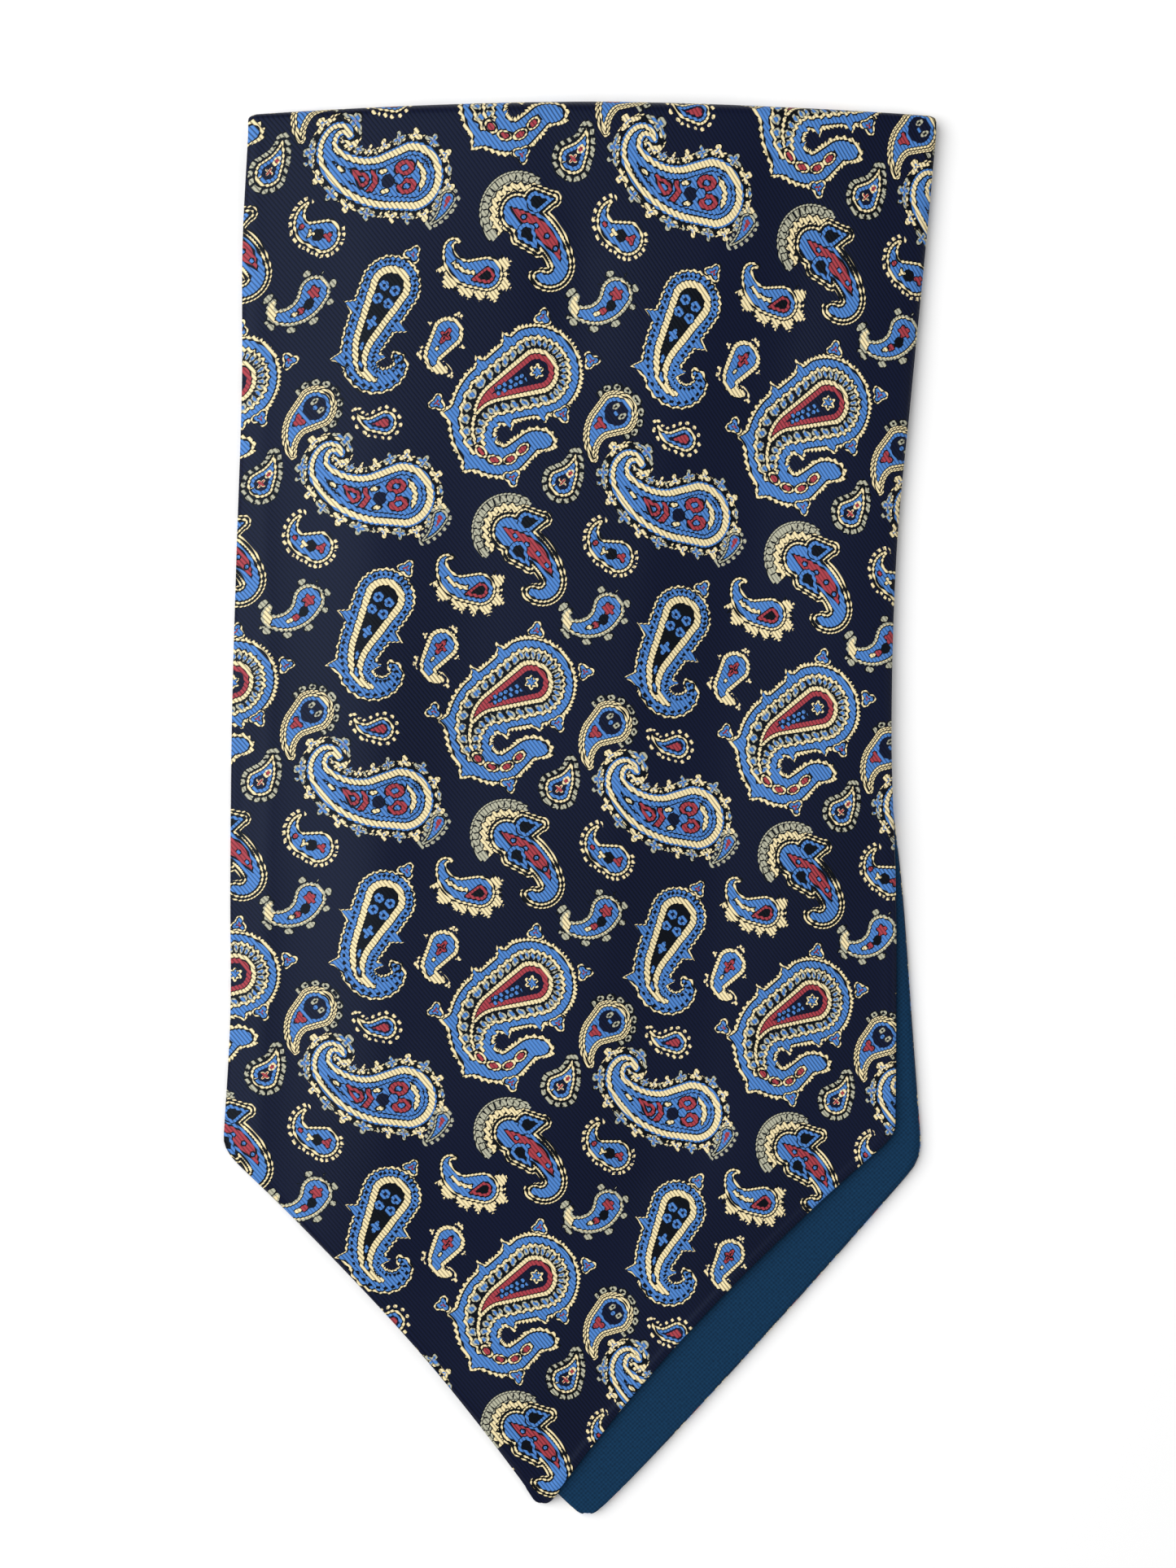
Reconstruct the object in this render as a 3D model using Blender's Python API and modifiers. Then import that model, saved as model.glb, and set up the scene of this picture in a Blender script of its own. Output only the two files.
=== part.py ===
"""Silk cravat, folded once across its width and laid flat, printed side up.

The front blade lies uppermost, rolls over the soft fold at the top and is
turned a little way under. The rear blade lies beneath it, printed side down,
with its lining up, and the pleated neck band is folded up between the two.
The fold is at +Y, the points are at -Y, and z = 0 is the surface below.
"""

import math
from collections import namedtuple

import bmesh
import bpy

MM = 0.001

# Layers, in millimetres
WALL = 1.0  # one pressed layer of cloth
GAP = 0.3  # left between pieces at seams and faces
OUTLINE_MIDDLE = (-0.15, -0.41)  # of the tables below; it is set on the origin
REAR_LEVEL = WALL / 2
LINING_LEVEL = WALL + GAP + WALL / 2
BED = 2 * (WALL + GAP)  # lowest face of what lies on the lining

# The blades' cut, in millimetres from the middle of the folded outline.
# left and right are how far each edge reaches from the middle line x = 0.
Edge = namedtuple("Edge", "up left right")
Blade = namedtuple("Blade", "edges left_shoulder right_shoulder apex tip_up bow")
Shoulder = namedtuple("Shoulder", "up reach")
Apex = namedtuple("Apex", "up x")

FRONT = Blade(
    edges=(
        Edge(up=151.0, left=73.8, right=79.2),
        Edge(up=125.5, left=75.2, right=76.9),
        Edge(up=94.0, left=75.4, right=73.8),
        Edge(up=57.5, left=76.7, right=70.4),
        Edge(up=16.5, left=77.8, right=69.2),
        Edge(up=-19.5, left=78.1, right=70.1),
        Edge(up=-46.5, left=78.1, right=70.2),
        Edge(up=-74.0, left=79.6, right=70.0),
    ),
    left_shoulder=Shoulder(up=-76.8, reach=79.6),
    right_shoulder=Shoulder(up=-73.2, reach=70.0),
    apex=Apex(up=-157.7, x=-8.5),
    tip_up=-155.6,
    bow=0.27,
)
REAR = Blade(
    edges=(
        Edge(up=151.0, left=73.6, right=78.7),
        Edge(up=125.5, left=73.0, right=74.9),
        Edge(up=94.0, left=72.3, right=71.6),
        Edge(up=57.5, left=71.2, right=68.3),
        Edge(up=16.5, left=70.5, right=68.1),
        Edge(up=-1.5, left=70.7, right=70.0),
        Edge(up=-19.5, left=71.2, right=72.0),
        Edge(up=-47.0, left=72.1, right=74.0),
        Edge(up=-74.0, left=72.9, right=76.0),
    ),
    left_shoulder=Shoulder(up=-78.9, reach=72.9),
    right_shoulder=Shoulder(up=-78.9, reach=76.1),
    apex=Apex(up=-160.9, x=1.5),
    tip_up=-158.1,
    bow=-0.05,
)
SHOULDER_ROUND = 3.0
TIP_RADIUS = 3.6
TURNING = 2.5  # the rear blade's silk edge that shows round its lining
TURNING_ON_POINT = 1.35  # the same turning, measured straight across a slanting edge

# The soft fold at the top, in millimetres
FOLD_LINE = 153.7  # where the wall leaves the flat, above and below
FOLD_DOME = 0.6  # how far the fold's ends fall back, beside what its roundness gives
FOLD_CORNER = 2.2
HALF_WIDTH = 78.0
FOLD_CROWN = 4.6  # stand of the fold's middle above the bed
FOLD_LENGTH = 40.0  # over which the roll eases into the blade
FOLD_FLATNESS = 0.8
TURNED_UNDER = 14.0
ARC_STEPS = 8

# How the front blade settles from the stack below it down to the surface
DRAPE_OUT = 6.5
DRAPE_WIDTH = 8.0

# The folded neck band lifts the front blade between two slanting lines
Lift = namedtuple("Lift", "up left right")
BAND_LIFT = 3.0
BAND_SIDES = (
    Lift(up=143.0, left=-60.0, right=44.6),
    Lift(up=85.0, left=-58.0, right=33.1),
    Lift(up=20.0, left=-56.0, right=21.5),
    Lift(up=-74.0, left=-55.0, right=15.7),
    Lift(up=-110.0, left=-54.0, right=10.0),
)
BAND_SKIRT = 13.0
BAND_FULL_TO = -62.0
BAND_GONE_BY = -108.0
BAND_BOTTOM = -82.0
BAND_INSET = 4.0
BAND_FOLD_CLEARANCE = 2.5
BAND_LAYER_STEP = 1.6
BAND_LAYER_HEIGHT = 0.6
BAND_RINGS = 16
BAND_ACROSS = 10
BAND_END_HEIGHT = 0.75

# Soft troughs pressed into the lifted cloth, and low mounds beside it
Trough = namedtuple("Trough", "x0 up0 x1 up1 share reach")
TROUGHS = (
    Trough(x0=3.0, up0=138.0, x1=-2.0, up1=104.0, share=0.30, reach=10.0),
    Trough(x0=-57.0, up0=128.0, x1=-55.0, up1=84.0, share=0.35, reach=12.0),
    Trough(x0=-24.0, up0=60.0, x1=-30.0, up1=-12.0, share=0.16, reach=11.0),
    Trough(x0=14.0, up0=-52.0, x1=8.0, up1=-92.0, share=0.35, reach=11.0),
)
Mound = namedtuple("Mound", "x up height reach")
MOUNDS = (
    Mound(x=57.0, up=96.0, height=0.7, reach=17.0),
    Mound(x=-42.0, up=-96.0, height=0.9, reach=20.0),
    Mound(x=34.0, up=-88.0, height=0.6, reach=15.0),
    Mound(x=-12.0, up=-130.0, height=0.5, reach=12.0),
)

# Mesh density
COLUMNS_FRONT = 24
COLUMNS_FLAT = 8
LENGTH_STEP = 11.0
POINT_STEP = 9.0
SHOULDER_ROWS = (5.0, 2.0, -1.0, -4.5)
TIP_ROWS = (4.2, 2.0, 0.8, 0.2)

SILK_NAVY = (0.014, 0.017, 0.046, 1.0)
LINING_TEAL = (0.005, 0.040, 0.098, 1.0)


def eased(t):
    """Smooth step from 0 to 1."""
    t = min(max(t, 0.0), 1.0)
    return t * t * (3.0 - 2.0 * t)


def smooth_min(a, b, soft):
    """The smaller of two lengths, rounded where they cross."""
    overlap = max(soft - abs(a - b), 0.0) / soft
    return min(a, b) - overlap * overlap * soft / 4.0


def along(rows, up, column):
    """A smooth curve down the table through one named column."""
    values = [getattr(row, column) for row in rows]
    ups = [row.up for row in rows]
    if up >= ups[0]:
        return values[0]
    if up <= ups[-1]:
        return values[-1]
    i = next(k for k in range(len(ups) - 1) if ups[k + 1] <= up)
    before, after = max(i - 1, 0), min(i + 2, len(ups) - 1)
    span = ups[i + 1] - ups[i]
    t = (up - ups[i]) / span
    start = (values[i + 1] - values[before]) / (ups[i + 1] - ups[before]) * span
    end = (values[after] - values[i]) / (ups[after] - ups[i]) * span
    return (
        values[i] * (2 * t**3 - 3 * t**2 + 1)
        + start * (t**3 - 2 * t**2 + t)
        + values[i + 1] * (3 * t**2 - 2 * t**3)
        + end * (t**3 - t**2)
    )


def reach(blade, up, side, inset=0.0):
    """How far a blade's edge lies from the middle line, on side -1 (left) or 1 (right)."""
    shoulder = blade.left_shoulder if side < 0 else blade.right_shoulder
    apex = blade.apex.x * side
    edge = along(blade.edges, up, "left" if side < 0 else "right") - inset
    t = (shoulder.up - up) / (shoulder.up - blade.apex.up)
    bowed = t + blade.bow * t * (1.0 - t) if t > 0.0 else t * (1.0 + blade.bow)
    slant = shoulder.reach + (apex - shoulder.reach) * bowed
    slant -= inset * TURNING_ON_POINT
    found = smooth_min(edge, slant, SHOULDER_ROUND)
    into_tip = up - blade.tip_up - inset * TURNING_ON_POINT
    if into_tip < TIP_RADIUS:
        round_half = math.sqrt(max(TIP_RADIUS**2 - (TIP_RADIUS - into_tip) ** 2, 0.0))
        found = min(found, apex + round_half)
    return found


def spread(count):
    """Places across a blade from -1 to 1, closer together near its edges."""
    return [math.sin(math.pi / 2 * (2 * k / count - 1)) for k in range(count + 1)]


def rows_down(top, blade, inset=0.0):
    """Heights of a blade's rows, from top down to its tip."""
    shoulder = max(blade.left_shoulder.up, blade.right_shoulder.up)
    tip = blade.tip_up + inset * TURNING_ON_POINT
    straight_end = shoulder + SHOULDER_ROWS[0]
    steps = math.ceil((top - straight_end) / LENGTH_STEP)
    rows = [top + (straight_end - top) * k / steps for k in range(steps)]
    rows += [shoulder + extra for extra in SHOULDER_ROWS]
    start, end = rows[-1], tip + TIP_ROWS[0]
    steps = math.ceil((start - end) / POINT_STEP)
    rows += [start + (end - start) * k / steps for k in range(1, steps)]
    rows += [tip + extra for extra in TIP_ROWS]
    return rows


def dome(v):
    """How far the fold falls back from its middle at a place v across."""
    return FOLD_DOME * abs(v) ** 1.4


def dome_at(v, up):
    return dome(v) * (1.0 - eased((FOLD_LINE - up) / 60.0))


def across(blade, up, v, inset=0.0, trim=0.0):
    """x of a place v across a blade."""
    left = -(reach(blade, up, -1, inset) - trim)
    right = reach(blade, up, 1, inset) - trim
    return left + (right - left) * (v + 1.0) / 2.0


def press(trough, x, up):
    """Share of the lift that a trough takes away at a point."""
    dx, du = trough.x1 - trough.x0, trough.up1 - trough.up0
    t = ((x - trough.x0) * dx + (up - trough.up0) * du) / (dx * dx + du * du)
    t = min(max(t, 0.0), 1.0)
    away = math.hypot(x - trough.x0 - t * dx, up - trough.up0 - t * du)
    return trough.share * math.exp(-((away / trough.reach) ** 2))


def lift(x, up):
    """How far the front blade stands above the bed of the rear blade and its lining."""
    left = along(BAND_SIDES, up, "left")
    right = along(BAND_SIDES, up, "right")
    side = min(x - left, right - x)
    plateau = eased((side + BAND_SKIRT) / (2 * BAND_SKIRT))
    plateau *= eased((up - BAND_GONE_BY) / (BAND_FULL_TO - BAND_GONE_BY))
    for trough in TROUGHS:
        plateau *= 1.0 - press(trough, x, up)
    crown = FOLD_CROWN * max(1.0 - abs(x / HALF_WIDTH) ** 1.8, 0.0)
    rolled = 1.0 - eased((FOLD_LINE - up) / FOLD_LENGTH)
    mounds = 0.0
    for mound in MOUNDS:
        away = math.hypot(x - mound.x, up - mound.up) / mound.reach
        mounds += mound.height * math.exp(-away * away)
    return (BAND_LIFT * plateau + mounds) * (1.0 - rolled) + crown * rolled


def front_underside(x, up):
    """Height of the front blade's lower face, draped past the rear blade's edges."""
    inside = min(reach(REAR, up, -1) + x, reach(REAR, up, 1) - x)
    settled = eased((inside + DRAPE_OUT) / DRAPE_WIDTH)
    return GAP + (BED - GAP + lift(x, up)) * settled


def add_mesh(name, points, faces, collection, material, smooth=True):
    """A mesh from points in millimetres, moved so that the outline's middle is on the origin."""
    middle_x, middle_y = OUTLINE_MIDDLE
    placed = [((x - middle_x) * MM, (y - middle_y) * MM, z * MM) for x, y, z in points]
    mesh = bpy.data.meshes.new(name)
    mesh.from_pydata(placed, [], faces)
    shape = bmesh.new()
    shape.from_mesh(mesh)
    bmesh.ops.recalc_face_normals(shape, faces=shape.faces)
    shape.to_mesh(mesh)
    shape.free()
    if smooth:
        mesh.shade_smooth()
    mesh.materials.append(material)
    piece = bpy.data.objects.new(name, mesh)
    collection.objects.link(piece)
    return piece


def grid_faces(rows, columns):
    """Quads of an open grid of points, stored row by row."""
    faces = []
    for r in range(rows - 1):
        for c in range(columns - 1):
            a = r * columns + c
            faces.append((a, a + 1, a + columns + 1, a + columns))
    return faces


def add_wall(name, grid, collection, material):
    """A cloth wall: an open sheet through the grid, given its thickness on both sides."""
    points = [point for row in grid for point in row]
    faces = grid_faces(len(grid), len(grid[0]))
    piece = add_mesh(name, points, faces, collection, material)
    wall = piece.modifiers.new("Cloth thickness", "SOLIDIFY")
    wall.thickness = WALL * MM
    wall.offset = 0.0
    wall.use_even_offset = True
    return piece


def front_blade(collection, material):
    places = spread(COLUMNS_FRONT)
    grid = []
    for back in (TURNED_UNDER, TURNED_UNDER / 2):
        up = FOLD_LINE - back
        grid.append([(across(REAR, up, v), up - dome_at(v, up), REAR_LEVEL) for v in places])
    for k in range(ARC_STEPS + 1):
        turn = math.pi * (k / ARC_STEPS - 0.5)
        trim = FOLD_CORNER * math.cos(turn) ** 3
        row = []
        for v in places:
            x = across(FRONT, FOLD_LINE, v, trim=trim)
            up = FOLD_LINE - dome(v)
            crown = front_underside(x, up) + WALL / 2
            radius = (crown - REAR_LEVEL) / 2
            row.append(
                (
                    x,
                    up + FOLD_FLATNESS * radius * math.cos(turn),
                    REAR_LEVEL + radius * (1 + math.sin(turn)),
                )
            )
        grid.append(row)
    for up in rows_down(FOLD_LINE, FRONT)[1:]:
        row = []
        for v in places:
            x, y = across(FRONT, up, v), up - dome_at(v, up)
            row.append((x, y, front_underside(x, y) + WALL / 2))
        grid.append(row)
    return add_wall("front_blade", grid, collection, material)


def flat_wall(name, top, inset, level, collection, material):
    """A layer that lies flat: the rear blade's cut, drawn in by inset all round."""
    grid = []
    for up in rows_down(top, REAR, inset):
        grid.append(
            [(across(REAR, up, v, inset), up - dome_at(v, up), level) for v in spread(COLUMNS_FLAT)]
        )
    return add_wall(name, grid, collection, material)


def neck_band(collection, material):
    """The folded band: lofted sections with a flat base and one lower layer standing out."""
    top = FOLD_LINE - BAND_FOLD_CLEARANCE
    rings = []
    for k in range(BAND_RINGS):
        up = top + (BAND_BOTTOM - top) * k / (BAND_RINGS - 1)
        left = along(BAND_SIDES, up, "left") + BAND_INSET
        right = along(BAND_SIDES, up, "right") - BAND_INSET
        end = BAND_END_HEIGHT if k in (0, BAND_RINGS - 1) else 1.0
        layer = BED + BAND_LAYER_HEIGHT
        ring = [
            (left - BAND_LAYER_STEP, BED),
            (right + BAND_LAYER_STEP, BED),
            (right + BAND_LAYER_STEP, layer),
            (right, layer),
        ]
        for c in range(BAND_ACROSS, -1, -1):
            x = left + (right - left) * c / BAND_ACROSS
            rounded = math.sqrt(max(1.0 - (2 * c / BAND_ACROSS - 1) ** 8, 0.0))
            stand = lift(x, up - dome(2 * c / BAND_ACROSS - 1)) - 2 * GAP
            height = BAND_LAYER_HEIGHT + (stand - BAND_LAYER_HEIGHT) * end * (0.5 + rounded / 2)
            ring.append((x, BED + height))
        ring += [(left, layer), (left - BAND_LAYER_STEP, layer)]
        rings.append([(x, up, z) for x, z in ring])
    points = [point for ring in rings for point in ring]
    size = len(rings[0])
    faces = [tuple(range(size)), tuple(range(len(points) - size, len(points)))]
    for r in range(len(rings) - 1):
        for c in range(size):
            a, b = r * size + c, r * size + (c + 1) % size
            faces.append((a, b, b + size, a + size))
    return add_mesh("neck_band", points, faces, collection, material, smooth=False)


def cloth_material(name, colour, roughness):
    material = bpy.data.materials.new(name)
    material.use_nodes = True
    shader = material.node_tree.nodes["Principled BSDF"]
    shader.inputs["Base Color"].default_value = colour
    shader.inputs["Roughness"].default_value = roughness
    shader.inputs["Metallic"].default_value = 0.0
    return material


def main():
    for old in list(bpy.data.objects):
        bpy.data.objects.remove(old, do_unlink=True)
    cravat = bpy.data.collections.new("silk_cravat")
    bpy.context.scene.collection.children.link(cravat)
    front_blade(cravat, cloth_material("front silk", SILK_NAVY, 0.45))
    seam = FOLD_LINE - TURNED_UNDER - GAP
    flat_wall("rear_blade", seam, 0.0, REAR_LEVEL, cravat, cloth_material("rear silk", SILK_NAVY, 0.45))
    flat_wall(
        "rear_lining",
        FOLD_LINE - TURNING,
        TURNING,
        LINING_LEVEL,
        cravat,
        cloth_material("lining twill", LINING_TEAL, 0.7),
    )
    neck_band(cravat, cloth_material("band silk", SILK_NAVY, 0.5))


main()
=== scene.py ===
"""Silk cravat, folded once across its width and laid flat, printed side up.

The sheets of cloth are built in millimetres, in a flat layout with x across and
"up" towards the fold, and are moved so that the outline's middle is on the origin.
"""

import ast
import math
import operator
from collections import namedtuple

import bpy
import numpy as np
from bpy.props import FloatProperty, FloatVectorProperty, PointerProperty
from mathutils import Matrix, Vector


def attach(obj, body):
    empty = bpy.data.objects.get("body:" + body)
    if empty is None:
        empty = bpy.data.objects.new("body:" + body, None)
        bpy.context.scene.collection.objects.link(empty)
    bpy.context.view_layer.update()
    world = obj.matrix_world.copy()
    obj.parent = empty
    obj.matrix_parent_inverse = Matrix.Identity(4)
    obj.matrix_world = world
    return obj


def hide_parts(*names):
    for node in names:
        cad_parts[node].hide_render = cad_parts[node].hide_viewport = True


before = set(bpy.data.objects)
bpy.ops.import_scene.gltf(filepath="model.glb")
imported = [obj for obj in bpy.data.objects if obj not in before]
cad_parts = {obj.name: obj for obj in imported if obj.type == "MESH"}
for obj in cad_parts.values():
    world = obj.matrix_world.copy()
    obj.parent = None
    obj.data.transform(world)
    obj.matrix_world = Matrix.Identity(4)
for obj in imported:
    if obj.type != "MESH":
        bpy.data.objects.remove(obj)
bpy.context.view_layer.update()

bl_info = {
    "name": "Silk Cravat",
    "version": (1, 0, 0),
    "blender": (4, 5, 0),
    "location": "View3D > Sidebar > Cravat",
    "description": "Builds a folded, printed silk cravat with its lining and neck band",
    "category": "Add Mesh",
}

MM = 0.001

# Cut and lie of the cloth, in millimetres

OUTLINE_MIDDLE = (-0.15, -0.41)
GAP = 0.3
WALL = 1.0
BED = 2 * (WALL + GAP)  # lowest face of what lies on the lining
REAR_LEVEL = WALL / 2
LINING_LEVEL = WALL + GAP + WALL / 2

Edge = namedtuple("Edge", "up left right")
Blade = namedtuple("Blade", "edges left_shoulder right_shoulder apex tip_up bow")
Shoulder = namedtuple("Shoulder", "up reach")
Apex = namedtuple("Apex", "up x")

FRONT = Blade(
    edges=(
        Edge(up=151.0, left=73.8, right=79.2),
        Edge(up=125.5, left=75.2, right=76.9),
        Edge(up=94.0, left=75.4, right=73.8),
        Edge(up=57.5, left=76.7, right=70.4),
        Edge(up=16.5, left=77.8, right=69.2),
        Edge(up=-19.5, left=78.1, right=70.1),
        Edge(up=-46.5, left=78.1, right=70.2),
        Edge(up=-74.0, left=79.6, right=70.0),
    ),
    left_shoulder=Shoulder(up=-76.8, reach=79.6),
    right_shoulder=Shoulder(up=-73.2, reach=70.0),
    apex=Apex(up=-157.7, x=-8.5),
    tip_up=-155.6,
    bow=0.27,
)
REAR = Blade(
    edges=(
        Edge(up=151.0, left=73.6, right=78.7),
        Edge(up=125.5, left=73.0, right=74.9),
        Edge(up=94.0, left=72.3, right=71.6),
        Edge(up=57.5, left=71.2, right=68.3),
        Edge(up=16.5, left=70.5, right=68.1),
        Edge(up=-1.5, left=70.7, right=70.0),
        Edge(up=-19.5, left=71.2, right=72.0),
        Edge(up=-47.0, left=72.1, right=74.0),
        Edge(up=-74.0, left=72.9, right=76.0),
    ),
    left_shoulder=Shoulder(up=-78.9, reach=72.9),
    right_shoulder=Shoulder(up=-78.9, reach=76.1),
    apex=Apex(up=-160.9, x=1.5),
    tip_up=-158.1,
    bow=-0.05,
)
SHOULDER_ROUND = 3.0
TIP_RADIUS = 3.6
TURNING_ON_POINT = 1.35  # a turning measured straight across a slanting edge

FOLD_LINE = 153.7
FOLD_DOME = 0.6
FOLD_CORNER = 2.2
HALF_WIDTH = 78.0
FOLD_CROWN = 4.6
FOLD_LENGTH = 40.0
FOLD_FLATNESS = 0.8
TURNED_UNDER = 14.0

DRAPE_OUT = 6.5
DRAPE_WIDTH = 8.0

Lift = namedtuple("Lift", "up left right")
BAND_LIFT = 3.0
BAND_SIDES = (
    Lift(up=143.0, left=-60.0, right=44.6),
    Lift(up=85.0, left=-58.0, right=33.1),
    Lift(up=20.0, left=-56.0, right=21.5),
    Lift(up=-74.0, left=-55.0, right=15.7),
    Lift(up=-110.0, left=-54.0, right=10.0),
)
BAND_SKIRT = 13.0
BAND_FULL_TO = -62.0
BAND_GONE_BY = -108.0
BAND_BOTTOM = -82.0
BAND_INSET = 4.0
BAND_FOLD_CLEARANCE = 2.5

Trough = namedtuple("Trough", "x0 up0 x1 up1 share reach")
TROUGHS = (
    Trough(x0=3.0, up0=138.0, x1=-2.0, up1=104.0, share=0.30, reach=10.0),
    Trough(x0=-57.0, up0=128.0, x1=-55.0, up1=84.0, share=0.35, reach=12.0),
    Trough(x0=-24.0, up0=60.0, x1=-30.0, up1=-12.0, share=0.16, reach=11.0),
    Trough(x0=14.0, up0=-52.0, x1=8.0, up1=-92.0, share=0.35, reach=11.0),
)
Mound = namedtuple("Mound", "x up height reach")
MOUNDS = (
    Mound(x=57.0, up=96.0, height=0.7, reach=17.0),
    Mound(x=-42.0, up=-96.0, height=0.9, reach=20.0),
    Mound(x=34.0, up=-88.0, height=0.6, reach=15.0),
    Mound(x=-12.0, up=-130.0, height=0.5, reach=12.0),
)

# Soft creases: a line from 0 to 1, its depth (a ridge is below zero) and its reach to each side
Crease = namedtuple("Crease", "x0 up0 x1 up1 depth reach")
FRONT_CREASES = (
    Crease(x0=44.0, up0=140.0, x1=30.0, up1=74.0, depth=0.45, reach=9.0),
    Crease(x0=30.0, up0=74.0, x1=21.0, up1=14.0, depth=0.35, reach=8.0),
    Crease(x0=18.0, up0=-20.0, x1=12.0, up1=-84.0, depth=0.40, reach=7.0),
    Crease(x0=12.0, up0=-84.0, x1=7.0, up1=-126.0, depth=0.25, reach=6.0),
    Crease(x0=-6.0, up0=146.0, x1=-2.0, up1=122.0, depth=0.30, reach=6.0),
    Crease(x0=-50.0, up0=80.0, x1=-46.0, up1=-70.0, depth=-0.40, reach=14.0),
    Crease(x0=63.0, up0=126.0, x1=56.0, up1=-30.0, depth=-0.75, reach=13.0),
    Crease(x0=44.0, up0=8.0, x1=38.0, up1=-78.0, depth=-0.45, reach=12.0),
    Crease(x0=-40.0, up0=-54.0, x1=-30.0, up1=-104.0, depth=0.20, reach=6.0),
)

# Mesh density, in millimetres or counts

FRONT_COLUMNS = 96
FRONT_STEP = 1.65
FLAT_COLUMNS = 60
FLAT_STEP = 2.4
FOLD_STEPS = 14
UNDER_STEPS = 9

# Names used by the pieces

ROOT = "root"
CUT_MAP = "Cut"
BAKE_MAP = "OFBake"


def linear(hex_colour):
    """An sRGB colour such as "#20233f" as linear red, green and blue."""
    parts = [int(hex_colour[i : i + 2], 16) / 255 for i in (1, 3, 5)]
    return tuple(p / 12.92 if p <= 0.04045 else ((p + 0.055) / 1.055) ** 2.4 for p in parts)


def colour_property(name, hex_colour, description):
    return FloatVectorProperty(
        name=name, description=description, subtype="COLOR", size=3, min=0, max=1, default=linear(hex_colour)
    )


class CravatCloth(bpy.types.PropertyGroup):
    """Thicknesses and turnings of the cravat's cloth."""

    silk_thickness: FloatProperty(
        name="Silk thickness",
        description="Blade silk with the interlining pressed behind it",
        default=0.8 * MM,
        unit="LENGTH",
    )
    rear_thickness: FloatProperty(
        name="Rear silk thickness",
        description="Rear blade's silk",
        default=0.55 * MM,
        unit="LENGTH",
    )
    lining_thickness: FloatProperty(
        name="Lining thickness",
        description="Lining with what lies under it",
        default=0.8 * MM,
        unit="LENGTH",
    )
    lining_inset: FloatProperty(
        name="Lining inset",
        description="How far the rear lining's seam lies inside the silk's edge",
        default=0.3 * MM,
        unit="LENGTH",
    )
    turned_edge: FloatProperty(
        name="Turned edge",
        description="Width of silk that is turned over the lining's edge",
        default=2.5 * MM,
        unit="LENGTH",
    )
    edge_swell: FloatProperty(
        name="Edge swell",
        description="How far the pressed seam stands above the blade beside it",
        default=0.22 * MM,
        unit="LENGTH",
    )


class CravatPrint(bpy.types.PropertyGroup):
    """Repeat and colours of the printed silk and the lining."""

    repeat_width: FloatProperty(
        name="Repeat width", description="Print repeat across", default=67.6 * MM, unit="LENGTH"
    )
    repeat_height: FloatProperty(
        name="Repeat height", description="Print repeat along", default=68.6 * MM, unit="LENGTH"
    )
    rib_pitch: FloatProperty(
        name="Rib pitch", description="From one twill rib to the next", default=0.78 * MM, unit="LENGTH"
    )
    navy: colour_property("Ground", "#0b1028", "Ground of the print")
    ink: colour_property("Outline", "#04050a", "Fine outlines of the print")
    blue: colour_property("Blue", "#4a7bbd", "Blue of the print")
    cream: colour_property("Cream", "#e5d4a5", "Cream of the print")
    pearl: colour_property("Pearl", "#a9a893", "Greyed cream of the beads")
    red: colour_property("Red", "#9c3a42", "Red of the print")
    lining: colour_property("Lining", "#0e3453", "Plain-woven lining")


class CravatStage(bpy.types.PropertyGroup):
    """Camera, floor and lamps."""

    camera_height: FloatProperty(
        name="Camera height", description="Camera above the surface", default=0.55, unit="LENGTH"
    )
    view_height: FloatProperty(
        name="View height", description="Length of surface seen in the picture", default=0.3517, unit="LENGTH"
    )
    floor_size: FloatProperty(name="Floor", description="Side of the floor", default=6.0, unit="LENGTH")
    lamp_power: FloatProperty(name="Main lamp", description="Soft lamp on the left, in watts", default=17.5)
    fill_power: FloatProperty(name="Fill lamp", description="Soft lamp on the right, in watts", default=5.0)
    sky_strength: FloatProperty(name="Sky", description="Even light from all round", default=0.28)


def eased(t):
    """Smooth step from 0 to 1."""
    t = min(max(t, 0.0), 1.0)
    return t * t * (3.0 - 2.0 * t)


def smooth_min(a, b, soft):
    """The smaller of two lengths, rounded where they cross."""
    overlap = max(soft - abs(a - b), 0.0) / soft
    return min(a, b) - overlap * overlap * soft / 4.0


def along(rows, up, column):
    """A smooth curve down the table through one named column."""
    values = [getattr(row, column) for row in rows]
    ups = [row.up for row in rows]
    if up >= ups[0]:
        return values[0]
    if up <= ups[-1]:
        return values[-1]
    i = next(k for k in range(len(ups) - 1) if ups[k + 1] <= up)
    before, after = max(i - 1, 0), min(i + 2, len(ups) - 1)
    span = ups[i + 1] - ups[i]
    t = (up - ups[i]) / span
    start = (values[i + 1] - values[before]) / (ups[i + 1] - ups[before]) * span
    end = (values[after] - values[i]) / (ups[after] - ups[i]) * span
    return (
        values[i] * (2 * t**3 - 3 * t**2 + 1)
        + start * (t**3 - 2 * t**2 + t)
        + values[i + 1] * (3 * t**2 - 2 * t**3)
        + end * (t**3 - t**2)
    )


def slanted(blade, up, side):
    """How far the slanting edge of a blade's point lies from the line through its apex."""
    shoulder = blade.left_shoulder if side < 0 else blade.right_shoulder
    t = (shoulder.up - up) / (shoulder.up - blade.apex.up)
    bowed = t + blade.bow * t * (1.0 - t) if t > 0.0 else t * (1.0 + blade.bow)
    return (shoulder.reach - blade.apex.x * side) * (1.0 - bowed)


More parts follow.
